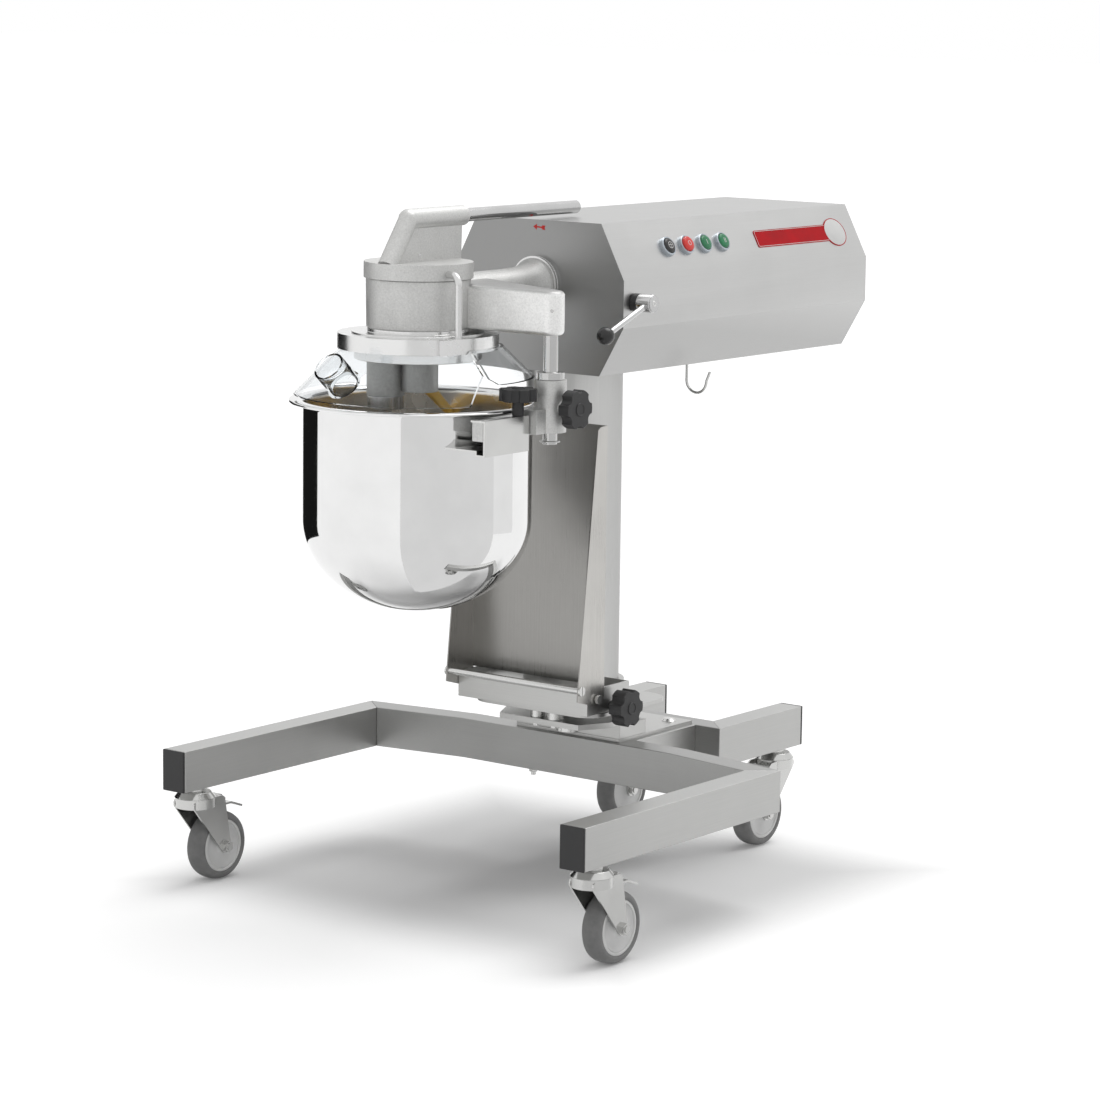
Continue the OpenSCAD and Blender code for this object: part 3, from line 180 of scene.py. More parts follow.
def satin_steel(name, color, rough, along="Y", spread=0.06, grain=1400, depth=0.06, painted_shade_facing=()):
    """Ground stainless steel: fine streaks along one axis and soft cloudy patches.
    Faces that look along an axis can get painted shade, darker by a factor."""
    s = Shader(name)
    s.set(Metallic=1.0)
    scale = {"X": (9, grain, grain), "Y": (grain, 9, grain), "Z": (grain, grain, 9)}[along]
    streaks = s.noise(s.mapped(scale), detail=3)
    clouds = s.noise(s.mapped((9, 9, 9)), detail=3)
    mixed = s.add("ShaderNodeMath", operation="MULTIPLY_ADD")
    s.link(streaks, mixed.inputs[0])
    mixed.inputs[1].default_value = 0.65
    halves = s.span(clouds, 0.05, 0.30)
    s.link(halves, mixed.inputs[2])
    grey = s.span(mixed.outputs[0], 0, 1)
    color_out = s.blend(grey, shade(color, 1 - spread), shade(color, 1 + spread))
    # painted shade on the faces that look along each listed axis
    for axis, level, factor in painted_shade_facing:
        color_out = painted_shade_by_facing(s, color_out, axis, level, factor)
    roughness = s.span(mixed.outputs[0], rough - 0.05, rough + 0.07)
    return s.paint(color_out, roughness, s.bump(streaks, depth, 0.00008))


def polished_steel(name, color, rough, scratch=0.03):
    """Bright steel with faint polishing marks and smudges."""
    s = Shader(name)
    s.set(Metallic=1.0)
    marks = s.noise(s.mapped((700, 700, 60)), detail=5)
    smudges = s.noise(s.mapped((14, 14, 14)), detail=4)
    color_out = s.blend(s.span(smudges, 0, 1), shade(color, 0.96), shade(color, 1.03))
    roughness = s.span(smudges, rough * 0.7, rough * 1.5)
    return s.paint(color_out, roughness, s.bump(marks, scratch, 0.00005))


def cast_metal(name, color, rough=0.5, grain=420, depth=0.35, spread=0.12, top=None):
    """Sand cast metal: fine pits, larger waves and darker hollows. The top can get painted shade, darker
    by a factor.
    """
    s = Shader(name)
    s.set(Metallic=0.85)
    pits = s.noise(s.mapped((grain, grain, grain)), detail=6, rough=0.65)
    waves = s.noise(s.mapped((45, 45, 45)), detail=3)
    color_out = s.blend(s.span(pits, 0, 1), shade(color, 1 - spread), shade(color, 1 + spread))
    # painted shade on the faces that look up, darker by the factor top
    if top is not None:
        color_out = painted_shade_by_facing(s, color_out, "Z", (0.3, 0.8), top)
    roughness = s.span(waves, rough - 0.06, rough + 0.10)
    under = s.bump(waves, 0.12, 0.002)
    return s.paint(color_out, roughness, s.bump(pits, depth, 0.0006, under))


def plastic(name, color, rough, grain=900, depth=0.10, spread=0.15, shine=0.5):
    """Moulded plastic with a fine skin texture."""
    s = Shader(name)
    s.set(Specular_IOR_Level=shine)
    skin = s.noise(s.mapped((grain, grain, grain)), detail=4)
    dust = s.noise(s.mapped((30, 30, 30)), detail=4)
    color_out = s.blend(s.span(dust, 0, 1), shade(color, 1 - spread), shade(color, 1 + spread))
    roughness = s.span(dust, rough - 0.04, rough + 0.08)
    return s.paint(color_out, roughness, s.bump(skin, depth, 0.0002))


def tyre_rubber(name):
    s = Shader(name)
    skin = s.noise(s.mapped((500, 500, 500)), detail=5)
    wear = s.noise(s.mapped((60, 60, 60)), detail=5)
    color_out = s.blend(s.span(wear, 0, 1), (0.18, 0.18, 0.18), (0.25, 0.25, 0.247))
    return s.paint(color_out, s.span(wear, 0.55, 0.75), s.bump(skin, 0.2, 0.0002))


def clear_plastic(name):
    """Clear sheet, lightly polished, with a very faint haze."""
    s = Shader(name)
    s.set(Transmission_Weight=1.0, IOR=1.10, Base_Color=(0.97, 0.98, 0.985, 1))
    haze = s.noise(s.mapped((9, 9, 9)), detail=2)
    return s.paint(s.blend(haze, (0.90, 0.915, 0.925), (0.94, 0.95, 0.955)), s.span(haze, 0.02, 0.05))


def clear_edge(name):
    """Cut edge of the clear sheet, pale and slightly frosted."""
    s = Shader(name)
    s.set(Transmission_Weight=0.35, IOR=1.20)
    haze = s.noise(s.mapped((200, 200, 200)), detail=3)
    return s.paint(s.blend(haze, (0.78, 0.80, 0.81), (0.95, 0.96, 0.965)), s.span(haze, 0.30, 0.45))


MATERIALS = {
    "frame_steel": satin_steel("frame_steel", (0.46, 0.46, 0.452), 0.36, "Y"),
    "beam_steel": satin_steel("beam_steel", (0.36, 0.36, 0.354), 0.36, "X"),
    "plate_steel": satin_steel("plate_steel", (0.50, 0.50, 0.49), 0.34, "X"),
    # sheet_steel: painted shade, darker on the faces that look to the front (-Y)
    "sheet_steel": satin_steel("sheet_steel", (0.52, 0.51, 0.49), 0.30, "Z", spread=0.10,
                                painted_shade_facing=[("Y", (-0.5, -0.7), 0.58)]),
    # column_steel: painted shade, darker on the faces turned towards the rear (+Y)
    "column_steel": satin_steel("column_steel", (0.60, 0.60, 0.592), 0.38, "Z",
                                painted_shade_facing=[("Y", (-0.4, 0.5), 0.60)]),
    # housing_steel: painted shade, darker on the faces that look to the front (-Y), on the top faces and
    # on the faces that look down
    "housing_steel": satin_steel("housing_steel", (0.56, 0.56, 0.555), 0.36, "Y", spread=0.04,
                                 painted_shade_facing=[("Y", (-0.5, -0.7), 0.54), ("Z", (0.8, 0.95), 0.76),
                                         ("Z", (-0.3, -0.5), 0.80)]),
    "fastener_steel": polished_steel("fastener_steel", (0.62, 0.62, 0.61), 0.20),
    "shaft_steel": polished_steel("shaft_steel", (0.66, 0.66, 0.655), 0.18),
    "bowl_steel": polished_steel("bowl_steel", (0.76, 0.76, 0.758), 0.045),
    "beater_steel": polished_steel("beater_steel", (0.66, 0.66, 0.65), 0.22),
    "caster_zinc": polished_steel("caster_zinc", (0.56, 0.56, 0.55), 0.16, 0.08),
    "bezel_chrome": polished_steel("bezel_chrome", (0.72, 0.72, 0.72), 0.10),
    "tyre_grey": tyre_rubber("tyre_grey"),
    "cast_aluminium": cast_metal("cast_aluminium", (0.60, 0.60, 0.59)),
    "turned_aluminium": polished_steel("turned_aluminium", (0.74, 0.74, 0.735), 0.20),
    "mount_iron": cast_metal("mount_iron", (0.22, 0.22, 0.22)),
    "carrier_iron": cast_metal("carrier_iron", (0.44, 0.44, 0.43), 0.50, 300, 0.6),
    "motor_paint": cast_metal("motor_paint", (0.12, 0.14, 0.16)),
    "black_plastic": plastic("black_plastic", (0.016, 0.016, 0.017), 0.42),
    "button_black": plastic("button_black", (0.02, 0.02, 0.02), 0.25, depth=0.03),
    "button_red": plastic("button_red", (0.80, 0.045, 0.035), 0.28, depth=0.03),
    "button_green": plastic("button_green", (0.015, 0.22, 0.085), 0.28, depth=0.03),
    "plate_red": plastic("plate_red", (0.50, 0.006, 0.012), 0.55, depth=0.02, shine=0.15),
    "clear_plastic": clear_plastic("clear_plastic"),
    "yellow_plastic": plastic("yellow_plastic", (0.72, 0.42, 0.03), 0.45),
}
ROD_STEEL = polished_steel("rod_steel", (0.56, 0.56, 0.56), 0.14)
POST_STEEL = polished_steel("post_steel", (0.52, 0.52, 0.515), 0.12)
# Inside of the bowl: a rougher finish, and a base colour raised well above the outside's as painted
# light
BOWL_INSIDE_PAINTED_LIGHT = polished_steel("bowl_inside", (0.90, 0.87, 0.82), 0.22, 0.0)
RING_GREY = polished_steel("ring_grey", (0.44, 0.48, 0.52), 0.30)
WHITE_PLASTIC = plastic("white_plastic", (0.78, 0.78, 0.77), 0.40, depth=0.04, spread=0.04)
RIM_PLASTIC = plastic("rim_plastic", (0.72, 0.72, 0.715), 0.42, depth=0.06, spread=0.05)
CLEAR_EDGE = clear_edge("clear_edge")
# The arm's cast aluminium: a brighter copy of cast_aluminium as painted light, with painted shade on its
# top
CAST_ARM_PAINTED_LIGHT = cast_metal("cast_arm", (0.86, 0.86, 0.85), 0.40, top=0.46)
RED_MARK = plastic("red_mark", (0.70, 0.02, 0.015), 0.45, depth=0.02)


# Mesh helpers

def smooth_by_angle(mesh, degrees=32):
    """Smooth shading with sharp edges where the faces turn by more than the angle."""
    bm = bmesh.new()
    bm.from_mesh(mesh)
    limit = math.radians(degrees)
    for face in bm.faces:
        face.smooth = True
    for edge in bm.edges:
        edge.smooth = len(edge.link_faces) == 2 and edge.calc_face_angle(0) < limit
    bm.to_mesh(mesh)
    bm.free()


def add_object(name, mesh, material, body):
    obj = bpy.data.objects.new(name, mesh)
    scene.collection.objects.link(obj)
    mesh.materials.clear()
    mesh.materials.append(material)
    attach(obj, body)
    return obj


def from_bmesh(name, bm, material, body, bevel=0.0, segments=2, sharp=32):
    """Finishes a mesh piece: normals, an optional rounded edge, and smooth shading."""
    bmesh.ops.recalc_face_normals(bm, faces=bm.faces)
    mesh = bpy.data.meshes.new(name)
    bm.to_mesh(mesh)
    bm.free()
    smooth_by_angle(mesh, sharp)
    obj = add_object(name, mesh, material, body)
    if bevel > 0:
        modifier = obj.modifiers.new("edge", "BEVEL")
        modifier.width = bevel
        modifier.segments = segments
        modifier.limit_method = "ANGLE"
        modifier.angle_limit = math.radians(30)
        modifier.harden_normals = True
        modifier.use_clamp_overlap = True
    return obj


def dress(node, material=None, bevel=0.0006, segments=2, keep=None, suffix="_finish"):
    """The CAD solid's own shape with rounded edges and a finished material."""
    bm = bmesh.new()
    bm.from_mesh(NODES[node].data)
    bmesh.ops.remove_doubles(bm, verts=bm.verts, dist=0.000005)
    if keep is not None:
        gone = [f for f in bm.faces if not keep(f.calc_center_median())]
        bmesh.ops.delete(bm, geom=gone, context="FACES")
    bmesh.ops.dissolve_limit(bm, angle_limit=math.radians(0.4), verts=bm.verts, edges=bm.edges)
    slot = SLOT_OF[node]
    metal = material or MATERIALS[slot]
    piece = from_bmesh(node + suffix, bm, metal, BODY_OF[node], bevel, segments)
    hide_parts(node)
    return piece


def lathe(profile, steps=96, axis="Z", at=(0, 0, 0), closed=True, span=360.0, start=0.0):
    """A turned shape. The profile is (radius, height) pairs, a closed ring or open from axis to axis."""
    bm = bmesh.new()
    whole = abs(span - 360.0) < 0.01
    count = steps if whole else steps + 1
    rings = []
    for i in range(count):
        a = math.radians(start + span * i / steps)
        ring = []
        for r, h in profile:
            ring.append(bm.verts.new((r * math.cos(a), r * math.sin(a), h)))
        rings.append(ring)
    n = len(profile)
    for i in range(steps):
        first, second = rings[i], rings[(i + 1) % count]
        for j in range(n if closed else n - 1):
            k = (j + 1) % n
            bm.faces.new((first[j], second[j], second[k], first[k]))
    if not whole and closed:
        bm.faces.new(rings[0])
        bm.faces.new(list(reversed(rings[-1])))
    bmesh.ops.remove_doubles(bm, verts=bm.verts, dist=0.0000005)
    turn = {
        "Z": Matrix.Identity(4),
        "X": Matrix.Rotation(math.radians(90), 4, "Y"),
        "Y": Matrix.Rotation(math.radians(-90), 4, "X"),
    }[axis]
    bm.transform(Matrix.Translation(Vector(at)) @ turn)
    return bm


def rounded(points, radius, steps=5):
    """The closed outline with each corner turned into an arc."""
    result = []
    count = len(points)
    for i in range(count):
        p = Vector(points[i])
        a = Vector(points[i - 1]) - p
        b = Vector(points[(i + 1) % count]) - p
        angle = a.angle(b)
        reach = min(radius / math.tan(angle / 2), a.length * 0.45, b.length * 0.45)
        first, last = p + a.normalized() * reach, p + b.normalized() * reach
        for k in range(steps + 1):
            t = k / steps
            result.append(first * (1 - t) ** 2 + p * 2 * t * (1 - t) + last * t ** 2)
    return result


def prism(outline, low, high, place=None):
    """A slab of a closed 2D outline, from low to high, placed by a matrix."""
    bm = bmesh.new()
    base = [bm.verts.new((p[0], p[1], low)) for p in outline]
    face = bm.faces.new(base)
    top = bmesh.ops.extrude_face_region(bm, geom=[face])
    lifted = [v for v in top["geom"] if isinstance(v, bmesh.types.BMVert)]
    bmesh.ops.translate(bm, verts=lifted, vec=(0, 0, high - low))
    if place is not None:
        bm.transform(place)
    return bm


def pillow(outline, low, high, radius, steps=5, sharp=()):
    """A slab with rounded upper and lower edges over an outline that runs anticlockwise from above.
    The points named in sharp stay at the full outline."""
    count = len(outline)
    points = [Vector(p) for p in outline]
    inward = []
    for i in range(count):
        first = (points[i] - points[i - 1]).normalized()
        last = (points[(i + 1) % count] - points[i]).normalized()
        n1, n2 = Vector((-first.y, first.x)), Vector((-last.y, last.x))
        inward.append(Vector((0, 0)) if i in sharp else (n1 + n2) / (1 + n1.dot(n2)))
    curve = [(radius * (1 - math.sin(t)), radius * (1 - math.cos(t))) for t in
             [math.radians(90 * k / steps) for k in range(steps + 1)]]
    levels = [(inset, low + rise) for inset, rise in curve]
    levels += [(inset, high - rise) for inset, rise in reversed(curve)]
    bm = bmesh.new()
    rings = []
    for inset, z in levels:
        rings.append([bm.verts.new((*(p + n * inset), z)) for p, n in zip(points, inward)])
    for a, b in zip(rings, rings[1:]):
        for k in range(count):
            bm.faces.new((a[k], a[(k + 1) % count], b[(k + 1) % count], b[k]))
    bm.faces.new(list(reversed(rings[0])))
    bm.faces.new(rings[-1])
    return bm


def place_matrix(at, x_dir, y_dir):
    """A matrix with its x and y axes along two directions."""
    x = Vector(x_dir).normalized()
    z = x.cross(Vector(y_dir)).normalized()
    y = z.cross(x)
    m = Matrix((x, y, z)).transposed().to_4x4()
    m.translation = Vector(at)
    return m


# Finished pieces over the CAD solids

SPECIAL = {
    "wheel_front_left", "wheel_front_right", "wheel_rear_left", "wheel_rear_right", "bowl", "nameplate",
    "splash_guard", "rear_guard", "head_casting", "clamp_lever", "button_bezels",
    "button_black", "button_red", "button_green_front", "button_green_rear",
}
EDGE = {
    "housing_shell": 0.0040, "head_casting": 0.0030, "head_cap": 0.0022, "clamp_body": 0.0020,
    "column_foot": 0.0008, "lock_knob": 0.0022, "clamp_knob": 0.0022, "bracket_knob": 0.0022,
    "leg_tubes": 0.0022, "front_beam": 0.0022, "rear_beam": 0.0022, "spine_tubes": 0.0022,
    "end_caps": 0.0015,
    "beater": 0.0020, "scraper": 0.0020, "rear_panel": 0.0004, "shelf_panel": 0.0005,
    "guard_ring": 0.0012, "fixed_ring": 0.0012, "planet_carrier": 0.0030,
}


def dress_all():
    overrides = {
        "front_beam": MATERIALS["beam_steel"],
        "rear_beam": MATERIALS["beam_steel"],
        "handle_rod": ROD_STEEL,
        "post": POST_STEEL,
    }
    for node in NODES:
        if node in SPECIAL:
            continue
        dress(node, overrides.get(node), EDGE.get(node, 0.0006))


def casters():
    """Tyre, rim and cover disc of each wheel."""
    width = 0.016
    for node, x, y in (
        ("wheel_front_left", -SWIVEL_X[0], SWIVEL_Y[0] + 0.044),
        ("wheel_front_right", SWIVEL_X[0], SWIVEL_Y[0] + 0.044),
        ("wheel_rear_left", -SWIVEL_X[1], SWIVEL_Y[1] - 0.044),
        ("wheel_rear_right", SWIVEL_X[1], SWIVEL_Y[1] - 0.044),
    ):
        at = (x, y, 0.050)
        body = BODY_OF[node]
        w = width
        tread = [
            (0.0385, -w + 0.0015), (0.041, -w), (0.0445, -w + 0.0008), (0.0478, -w + 0.0035),
            (0.0493, -w + 0.0075), (0.0499, -w + 0.0120), (0.0500, 0), (0.0499, w - 0.0120),
            (0.0493, w - 0.0075), (0.0478, w - 0.0035), (0.0445, w - 0.0008), (0.041, w),
            (0.0385, w - 0.0015), (0.0380, w - 0.004), (0.0380, -w + 0.004),
        ]
        tyre = lathe(tread, 96, "X", at)
        piece = from_bmesh(node + "_tyre", tyre, MATERIALS["tyre_grey"], body, sharp=50)
        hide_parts(node)
        rim = [
            (0.0382, -w + 0.0022), (0.0365, -w + 0.0010), (0.0345, -w + 0.0014), (0.0335, -w + 0.0036),
            (0.0335, w - 0.0036), (0.0345, w - 0.0014), (0.0365, w - 0.0010), (0.0382, w - 0.0022),
        ]
        ring = lathe(rim, 96, "X", at)
        from_bmesh(node + "_rim", ring, WHITE_PLASTIC, body, sharp=50)
        disc = [
            (0.0052, -w - 0.001), (0.0105, -w - 0.001), (0.0120, -w + 0.0012), (0.0150, -w + 0.0030),
            (0.0300, -w + 0.0042), (0.0325, -w + 0.0026), (0.0337, -w + 0.0034),
            (0.0337, w - 0.0034), (0.0325, w - 0.0026), (0.0300, w - 0.0042), (0.0150, w - 0.0030),
            (0.0120, w - 0.0012), (0.0105, w + 0.001), (0.0052, w + 0.001),
        ]
        cover = lathe(disc, 96, "X", at)
        from_bmesh(node + "_disc", cover, RIM_PLASTIC, body, sharp=40)


def from_head(point):
    """Distance from the head's upright axis."""
    return math.hypot(point.x, point.y - HEAD_Y)


def bowl():
    """Spun bowl with a rolled rim, and its welded bracket from the CAD solid."""
    r, wall = 0.158, 0.0015
    mid, depth = RIM_TOP - 0.165, 0.128
    steps = 28
    outer = [(r * math.cos(a), mid - depth * math.sin(a)) for a in
             [math.radians(90 - 90 * i / steps) for i in range(steps + 1)]]
    inner = [((r - wall) * math.cos(a), mid - (depth - wall) * math.sin(a)) for a in
             [math.radians(90 * i / steps) for i in range(steps + 1)]]
    top = RIM_TOP
    rim = [
        (r, top - 0.010), (r + 0.0006, top - 0.0045), (r + 0.0030, top - 0.0018),
        (0.1735, top - 0.0016), (0.1746, top - 0.0034), (0.1752, top - 0.0040),
        (0.1764, top - 0.0036), (0.1769, top - 0.0020),
        (0.1764, top - 0.0006), (0.1750, top), (r + 0.0030, top - 0.0002), (r, top - 0.0016),
        (r - wall, top - 0.0060), (r - wall, top - 0.010),
    ]
    outline = outer + rim + inner
    piece = lathe(outline, 160, "Z", HEAD, closed=False)
    metal, body = MATERIALS["bowl_steel"], BODY_OF["bowl"]
    shell = from_bmesh("bowl_shell", piece, metal, body, sharp=60)
    # the inside faces get the brighter steel with painted light
    shell.data.materials.append(BOWL_INSIDE_PAINTED_LIGHT)
    for face in shell.data.polygons:
        c, n = face.center - HEAD, face.normal
        if c.x * n.x + c.y * n.y < 0 and c.z < top - 0.008 or c.z < mid and n.z > 0:
            face.material_index = 1
    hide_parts("bowl")

    def on_bracket(c):
        return c.x > 0.10 and from_head(c) > r + 0.0002 and c.z < top - 0.005

    bracket = dress("bowl", MATERIALS["fastener_steel"], 0.0004, keep=on_bracket, suffix="_bracket")
    return shell, bracket


def slope_place(y, out=0.0):
    """A place on the housing's upper chamfer, +Z outwards and +Y along the housing."""
    top, side = SLOPE_TOP, SLOPE_SIDE
    middle = Vector(((top[0] + side[0]) / 2, y, (top[1] + side[1]) / 2))
    down = Vector((side[0] - top[0], 0, side[1] - top[1]))
    m = place_matrix(middle, down, (0, 1, 0))
    return m @ Matrix.Translation((0, 0, out))


def nameplate():
    """Bare red plate with a bare white disc."""
    y0, y1, half, thick = 0.262, 0.474, 0.0135, 0.001
    outline = rounded([(-half, y0), (half, y0), (half, y1), (-half, y1)], 0.004)
    plate = prism(outline, 0, thick, slope_place(0))
    piece = from_bmesh("nameplate_red", plate, MATERIALS["plate_red"], "upper", 0.0002)
    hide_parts("nameplate")
    inner = rounded([(-half + 0.0012, y0 + 0.0012), (half - 0.0012, y0 + 0.0012),
                     (half - 0.0012, y1 - 0.001), (-half + 0.0012, y1 - 0.001)], 0.003)
    hole = rounded([(-half + 0.0019, y0 + 0.0019), (half - 0.0019, y0 + 0.0019),
                    (half - 0.0019, y1 - 0.0017), (-half + 0.0019, y1 - 0.0017)], 0.0025)
    border = frame_outline(inner, hole, thick, thick + 0.0001, slope_place(0))
    from_bmesh("nameplate_border", border, WHITE_PLASTIC, "upper")
    disc_y, disc_r = 0.474, 0.0215
    face = [(0, 0), (disc_r, 0), (disc_r, 0.0010), (disc_r - 0.0004, 0.0012), (0, 0.0012)]
    disc = lathe(face, 64, closed=False)
    wide = Matrix.Diagonal((1, 1.22, 1, 1))
    disc.transform(slope_place(disc_y) @ wide)
    from_bmesh("nameplate_disc", disc, WHITE_PLASTIC, "upper")
    rim = lathe([(disc_r, 0), (disc_r + 0.0012, 0), (disc_r + 0.0012, 0.0011), (disc_r, 0.0013)], 64)
    rim.transform(slope_place(disc_y) @ wide)
    from_bmesh("nameplate_disc_rim", rim, MATERIALS["plate_red"], "upper")


def frame_outline(outer, inner, low, high, place):
    """A flat frame between two outlines with the same number of points."""
    bm = bmesh.new()
    n = len(outer)
    loops = [[bm.verts.new((p[0], p[1], z)) for p in line] for line, z in
             ((outer, low), (outer, high), (inner, high), (inner, low))]
    for a, b in zip(loops, loops[1:] + loops[:1]):
        for k in range(n):
            bm.faces.new((a[k], a[(k + 1) % n], b[(k + 1) % n], b[k]))
    bm.transform(place)
    return bm


def bar(x, y, half_x, half_y):
    """Outline of a bar around a middle."""
    signs = ((-1, -1), (1, -1), (1, 1), (-1, 1))
    return [(x + a * half_x, y + b * half_y) for a, b in signs]


def buttons():
    """Domed caps in grey rings, with the usual generic marks for off, one and two."""
    first = True
    for node, slot, rise, circle, bars in (
        ("button_black", "button_black", 0.0086, 0.0052,
         [bar(0.001, 0, 0.0040, 0.0004), bar(-0.0005, 0, 0.0004, 0.0046)]),
        ("button_red", "button_red", 0.0100, 0.0036, []),
        ("button_green_front", "button_green", 0.0086, None, [bar(0, 0, 0.0036, 0.0005)]),
        ("button_green_rear", "button_green", 0.0086, None,
         [bar(0, -0.0014, 0.0036, 0.0005), bar(0, 0.0014, 0.0036, 0.0005)]),
    ):
        low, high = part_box(node)
        middle = (low + high) / 2
        flat = slope_place(middle.y)
        place = flat @ Matrix.Translation(((flat.inverted() @ middle).x, 0, 0))
        ring = lathe([(0.0116, 0), (0.0146, 0), (0.0149, 0.0012), (0.0142, 0.0052), (0.0134, 0.0060),
                      (0.0120, 0.0060), (0.0116, 0.0054)], 64)
        ring.transform(place)
        bezel = from_bmesh(node + "_ring", ring, RING_GREY, "upper")
        if first:
            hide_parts("button_bezels")
            first = False
        body = BODY_OF[node]
        cap = lathe([(0, rise), (0.0060, rise - 0.0001), (0.0092, rise - 0.0005),
                     (0.0106, rise - 0.0013), (0.0112, rise - 0.0028), (0.0112, 0.0043), (0, 0.0043)],
                    64, closed=False)
        cap.transform(place)
        piece = from_bmesh(node + "_cap", cap, MATERIALS[slot], body, sharp=50)
        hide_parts(node)
        base, face = rise - 0.0003, rise + 0.0001
        if circle is not None:
            inside = circle - 0.0008
            mark = lathe([(inside, base), (circle, base), (circle, face), (inside, face)], 48)
            mark.transform(place)
            from_bmesh(node + "_circle", mark, WHITE_PLASTIC, body)
        for k, outline in enumerate(bars):
            mark = prism(outline, base, face, place)
            from_bmesh(node + "_bar_" + str(k + 1), mark, WHITE_PLASTIC, body)


def cap_pin():
    """Small pin in the side of the cap's handle web."""
    pin = lathe([(0, 0.0003), (0.0016, 0.0003), (0.0020, 0), (0.0020, -0.002)], 32, "X",
                (0.0050, -0.3595, 0.9268), closed=False)
    from_bmesh("head_cap_pin", pin, ROD_STEEL, BODY_OF["head_cap"])


def turning_arrow():
    """Small generic arrow beside the hub, on the housing's front face."""
    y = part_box("housing_shell")[0].y
    outline = [(-0.0108, 0), (-0.0045, 0.0042), (-0.0045, 0.0010), (0.0040, 0.0010), (0.0056, 0.0030),
               (0.0108, 0.0030), (0.0092, 0), (0.0108, -0.0030), (0.0056, -0.0030), (0.0040, -0.0010),
               (-0.0045, -0.0010), (-0.0045, -0.0042)]
    place = place_matrix((0.0024, y, 0.9515), (1, 0, -0.05), (0.05, 0, 1))
    arrow = prism(outline, 0, 0.0003, place)
    from_bmesh("turning_arrow", arrow, RED_MARK, "upper")


def handle_end():
    """Dark plug in the free end of the handle rod."""
    low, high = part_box("handle_rod")
    r = (high.x - low.x) / 2
    plug = lathe([(0, 0), (r - 0.0002, 0), (r - 0.0002, 0.010), (0, 0.010)], 48, "Y",
                 (0, high.y - 0.0102, (low.z + high.z) / 2), closed=False)
    body = BODY_OF["handle_rod"]
    from_bmesh("handle_plug", plug, MATERIALS["black_plastic"], body, 0.001)


def clear_sheet(name, node, top, low, start, sweep, trim):
    """Clear conical sheet with pale cut edges. trim(angle) is the radius of the lower edge there."""
    wall, columns, rows = 0.003, int(sweep), 10
    drop, run = top[1] - low[1], low[0] - top[0]
    across = wall * math.hypot(run, drop) / drop
    bm = bmesh.new()
    outer, inner = [], []
    for i in range(columns + 1):
        a = math.radians(start + sweep * i / columns)
        end = min(low[0], trim(a))
        for line, inset in ((outer, 0), (inner, across)):
            column = []
            for k in range(rows + 1):
                r = top[0] + (end - top[0]) * k / rows
                z = top[1] - (r - top[0]) * drop / run
                column.append(bm.verts.new(((r - inset) * math.cos(a), (r - inset) * math.sin(a), z)))
            line.append(column)
    rims = []
    for i in range(columns):
        for k in range(rows):
            bm.faces.new((outer[i][k], outer[i + 1][k], outer[i + 1][k + 1], outer[i][k + 1]))
            bm.faces.new((inner[i][k], inner[i][k + 1], inner[i + 1][k + 1], inner[i + 1][k]))
        for k in (0, rows):
            rims.append(bm.faces.new((outer[i][k], outer[i + 1][k], inner[i + 1][k], inner[i][k])))
    for i in (0, columns):
        for k in range(rows):
            rims.append(bm.faces.new((outer[i][k], outer[i][k + 1], inner[i][k + 1], inner[i][k])))
    for face in rims:
        face.material_index = 1
    bm.transform(Matrix.Translation(HEAD))
    sheet = from_bmesh(name, bm, MATERIALS["clear_plastic"], BODY_OF[node])
    sheet.data.materials.append(CLEAR_EDGE)
    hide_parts(node)


def chute():
    """Clear filling chute on the front sheet, with a pale mouth."""
    turn, tilt = math.radians(-93), math.radians(48)
    radius, bore, length = 0.022, 0.019, 0.040
    foot = Vector((0.146, 0, 0.760))
    along = Vector((math.sin(tilt), 0, math.cos(tilt)))
    side = Vector((0, 1, 0))
    up = along.cross(side)

    def on_cone(p, level):
        """The point slid along the chute to the cone where radius plus height is the level."""
        low, high = -0.04, 0.04
        for _ in range(24):
            middle = (low + high) / 2
            q = p + along * middle
            if math.hypot(q.x, q.y) + q.z > level:
                high = middle
            else:
                low = middle
        return p + along * (low + high) / 2

    bm = bmesh.new()
    steps = 64
    loops = [[] for _ in range(6)]
    for i in range(steps):
        a = 2 * math.pi * i / steps
        out = side * math.cos(a) + up * math.sin(a)
        mouth = foot + along * length
        root = on_cone(foot + out * radius, 0.906)
        column = [
            on_cone(foot + out * (radius + 0.0025), 0.9062), root + along * 0.0025,
            mouth + out * radius, mouth + out * bore,
            on_cone(foot + out * bore, 0.906), on_cone(foot + out * bore, 0.9018),
        ]
        for loop, p in zip(loops, column):
            loop.append(bm.verts.new(p))
    for j, (a, b) in enumerate(zip(loops, loops[1:] + loops[:1])):
        for k in range(steps):
            face = bm.faces.new((a[k], a[(k + 1) % steps], b[(k + 1) % steps], b[k]))
            if j in (0, 2, 5):
                face.material_index = 1
    bm.transform(Matrix.Translation(HEAD) @ Matrix.Rotation(turn, 4, "Z"))
    clear, body = MATERIALS["clear_plastic"], BODY_OF["splash_guard"]
    piece = from_bmesh("splash_guard_chute", bm, clear, body, sharp=50)
    piece.data.materials.append(CLEAR_EDGE)


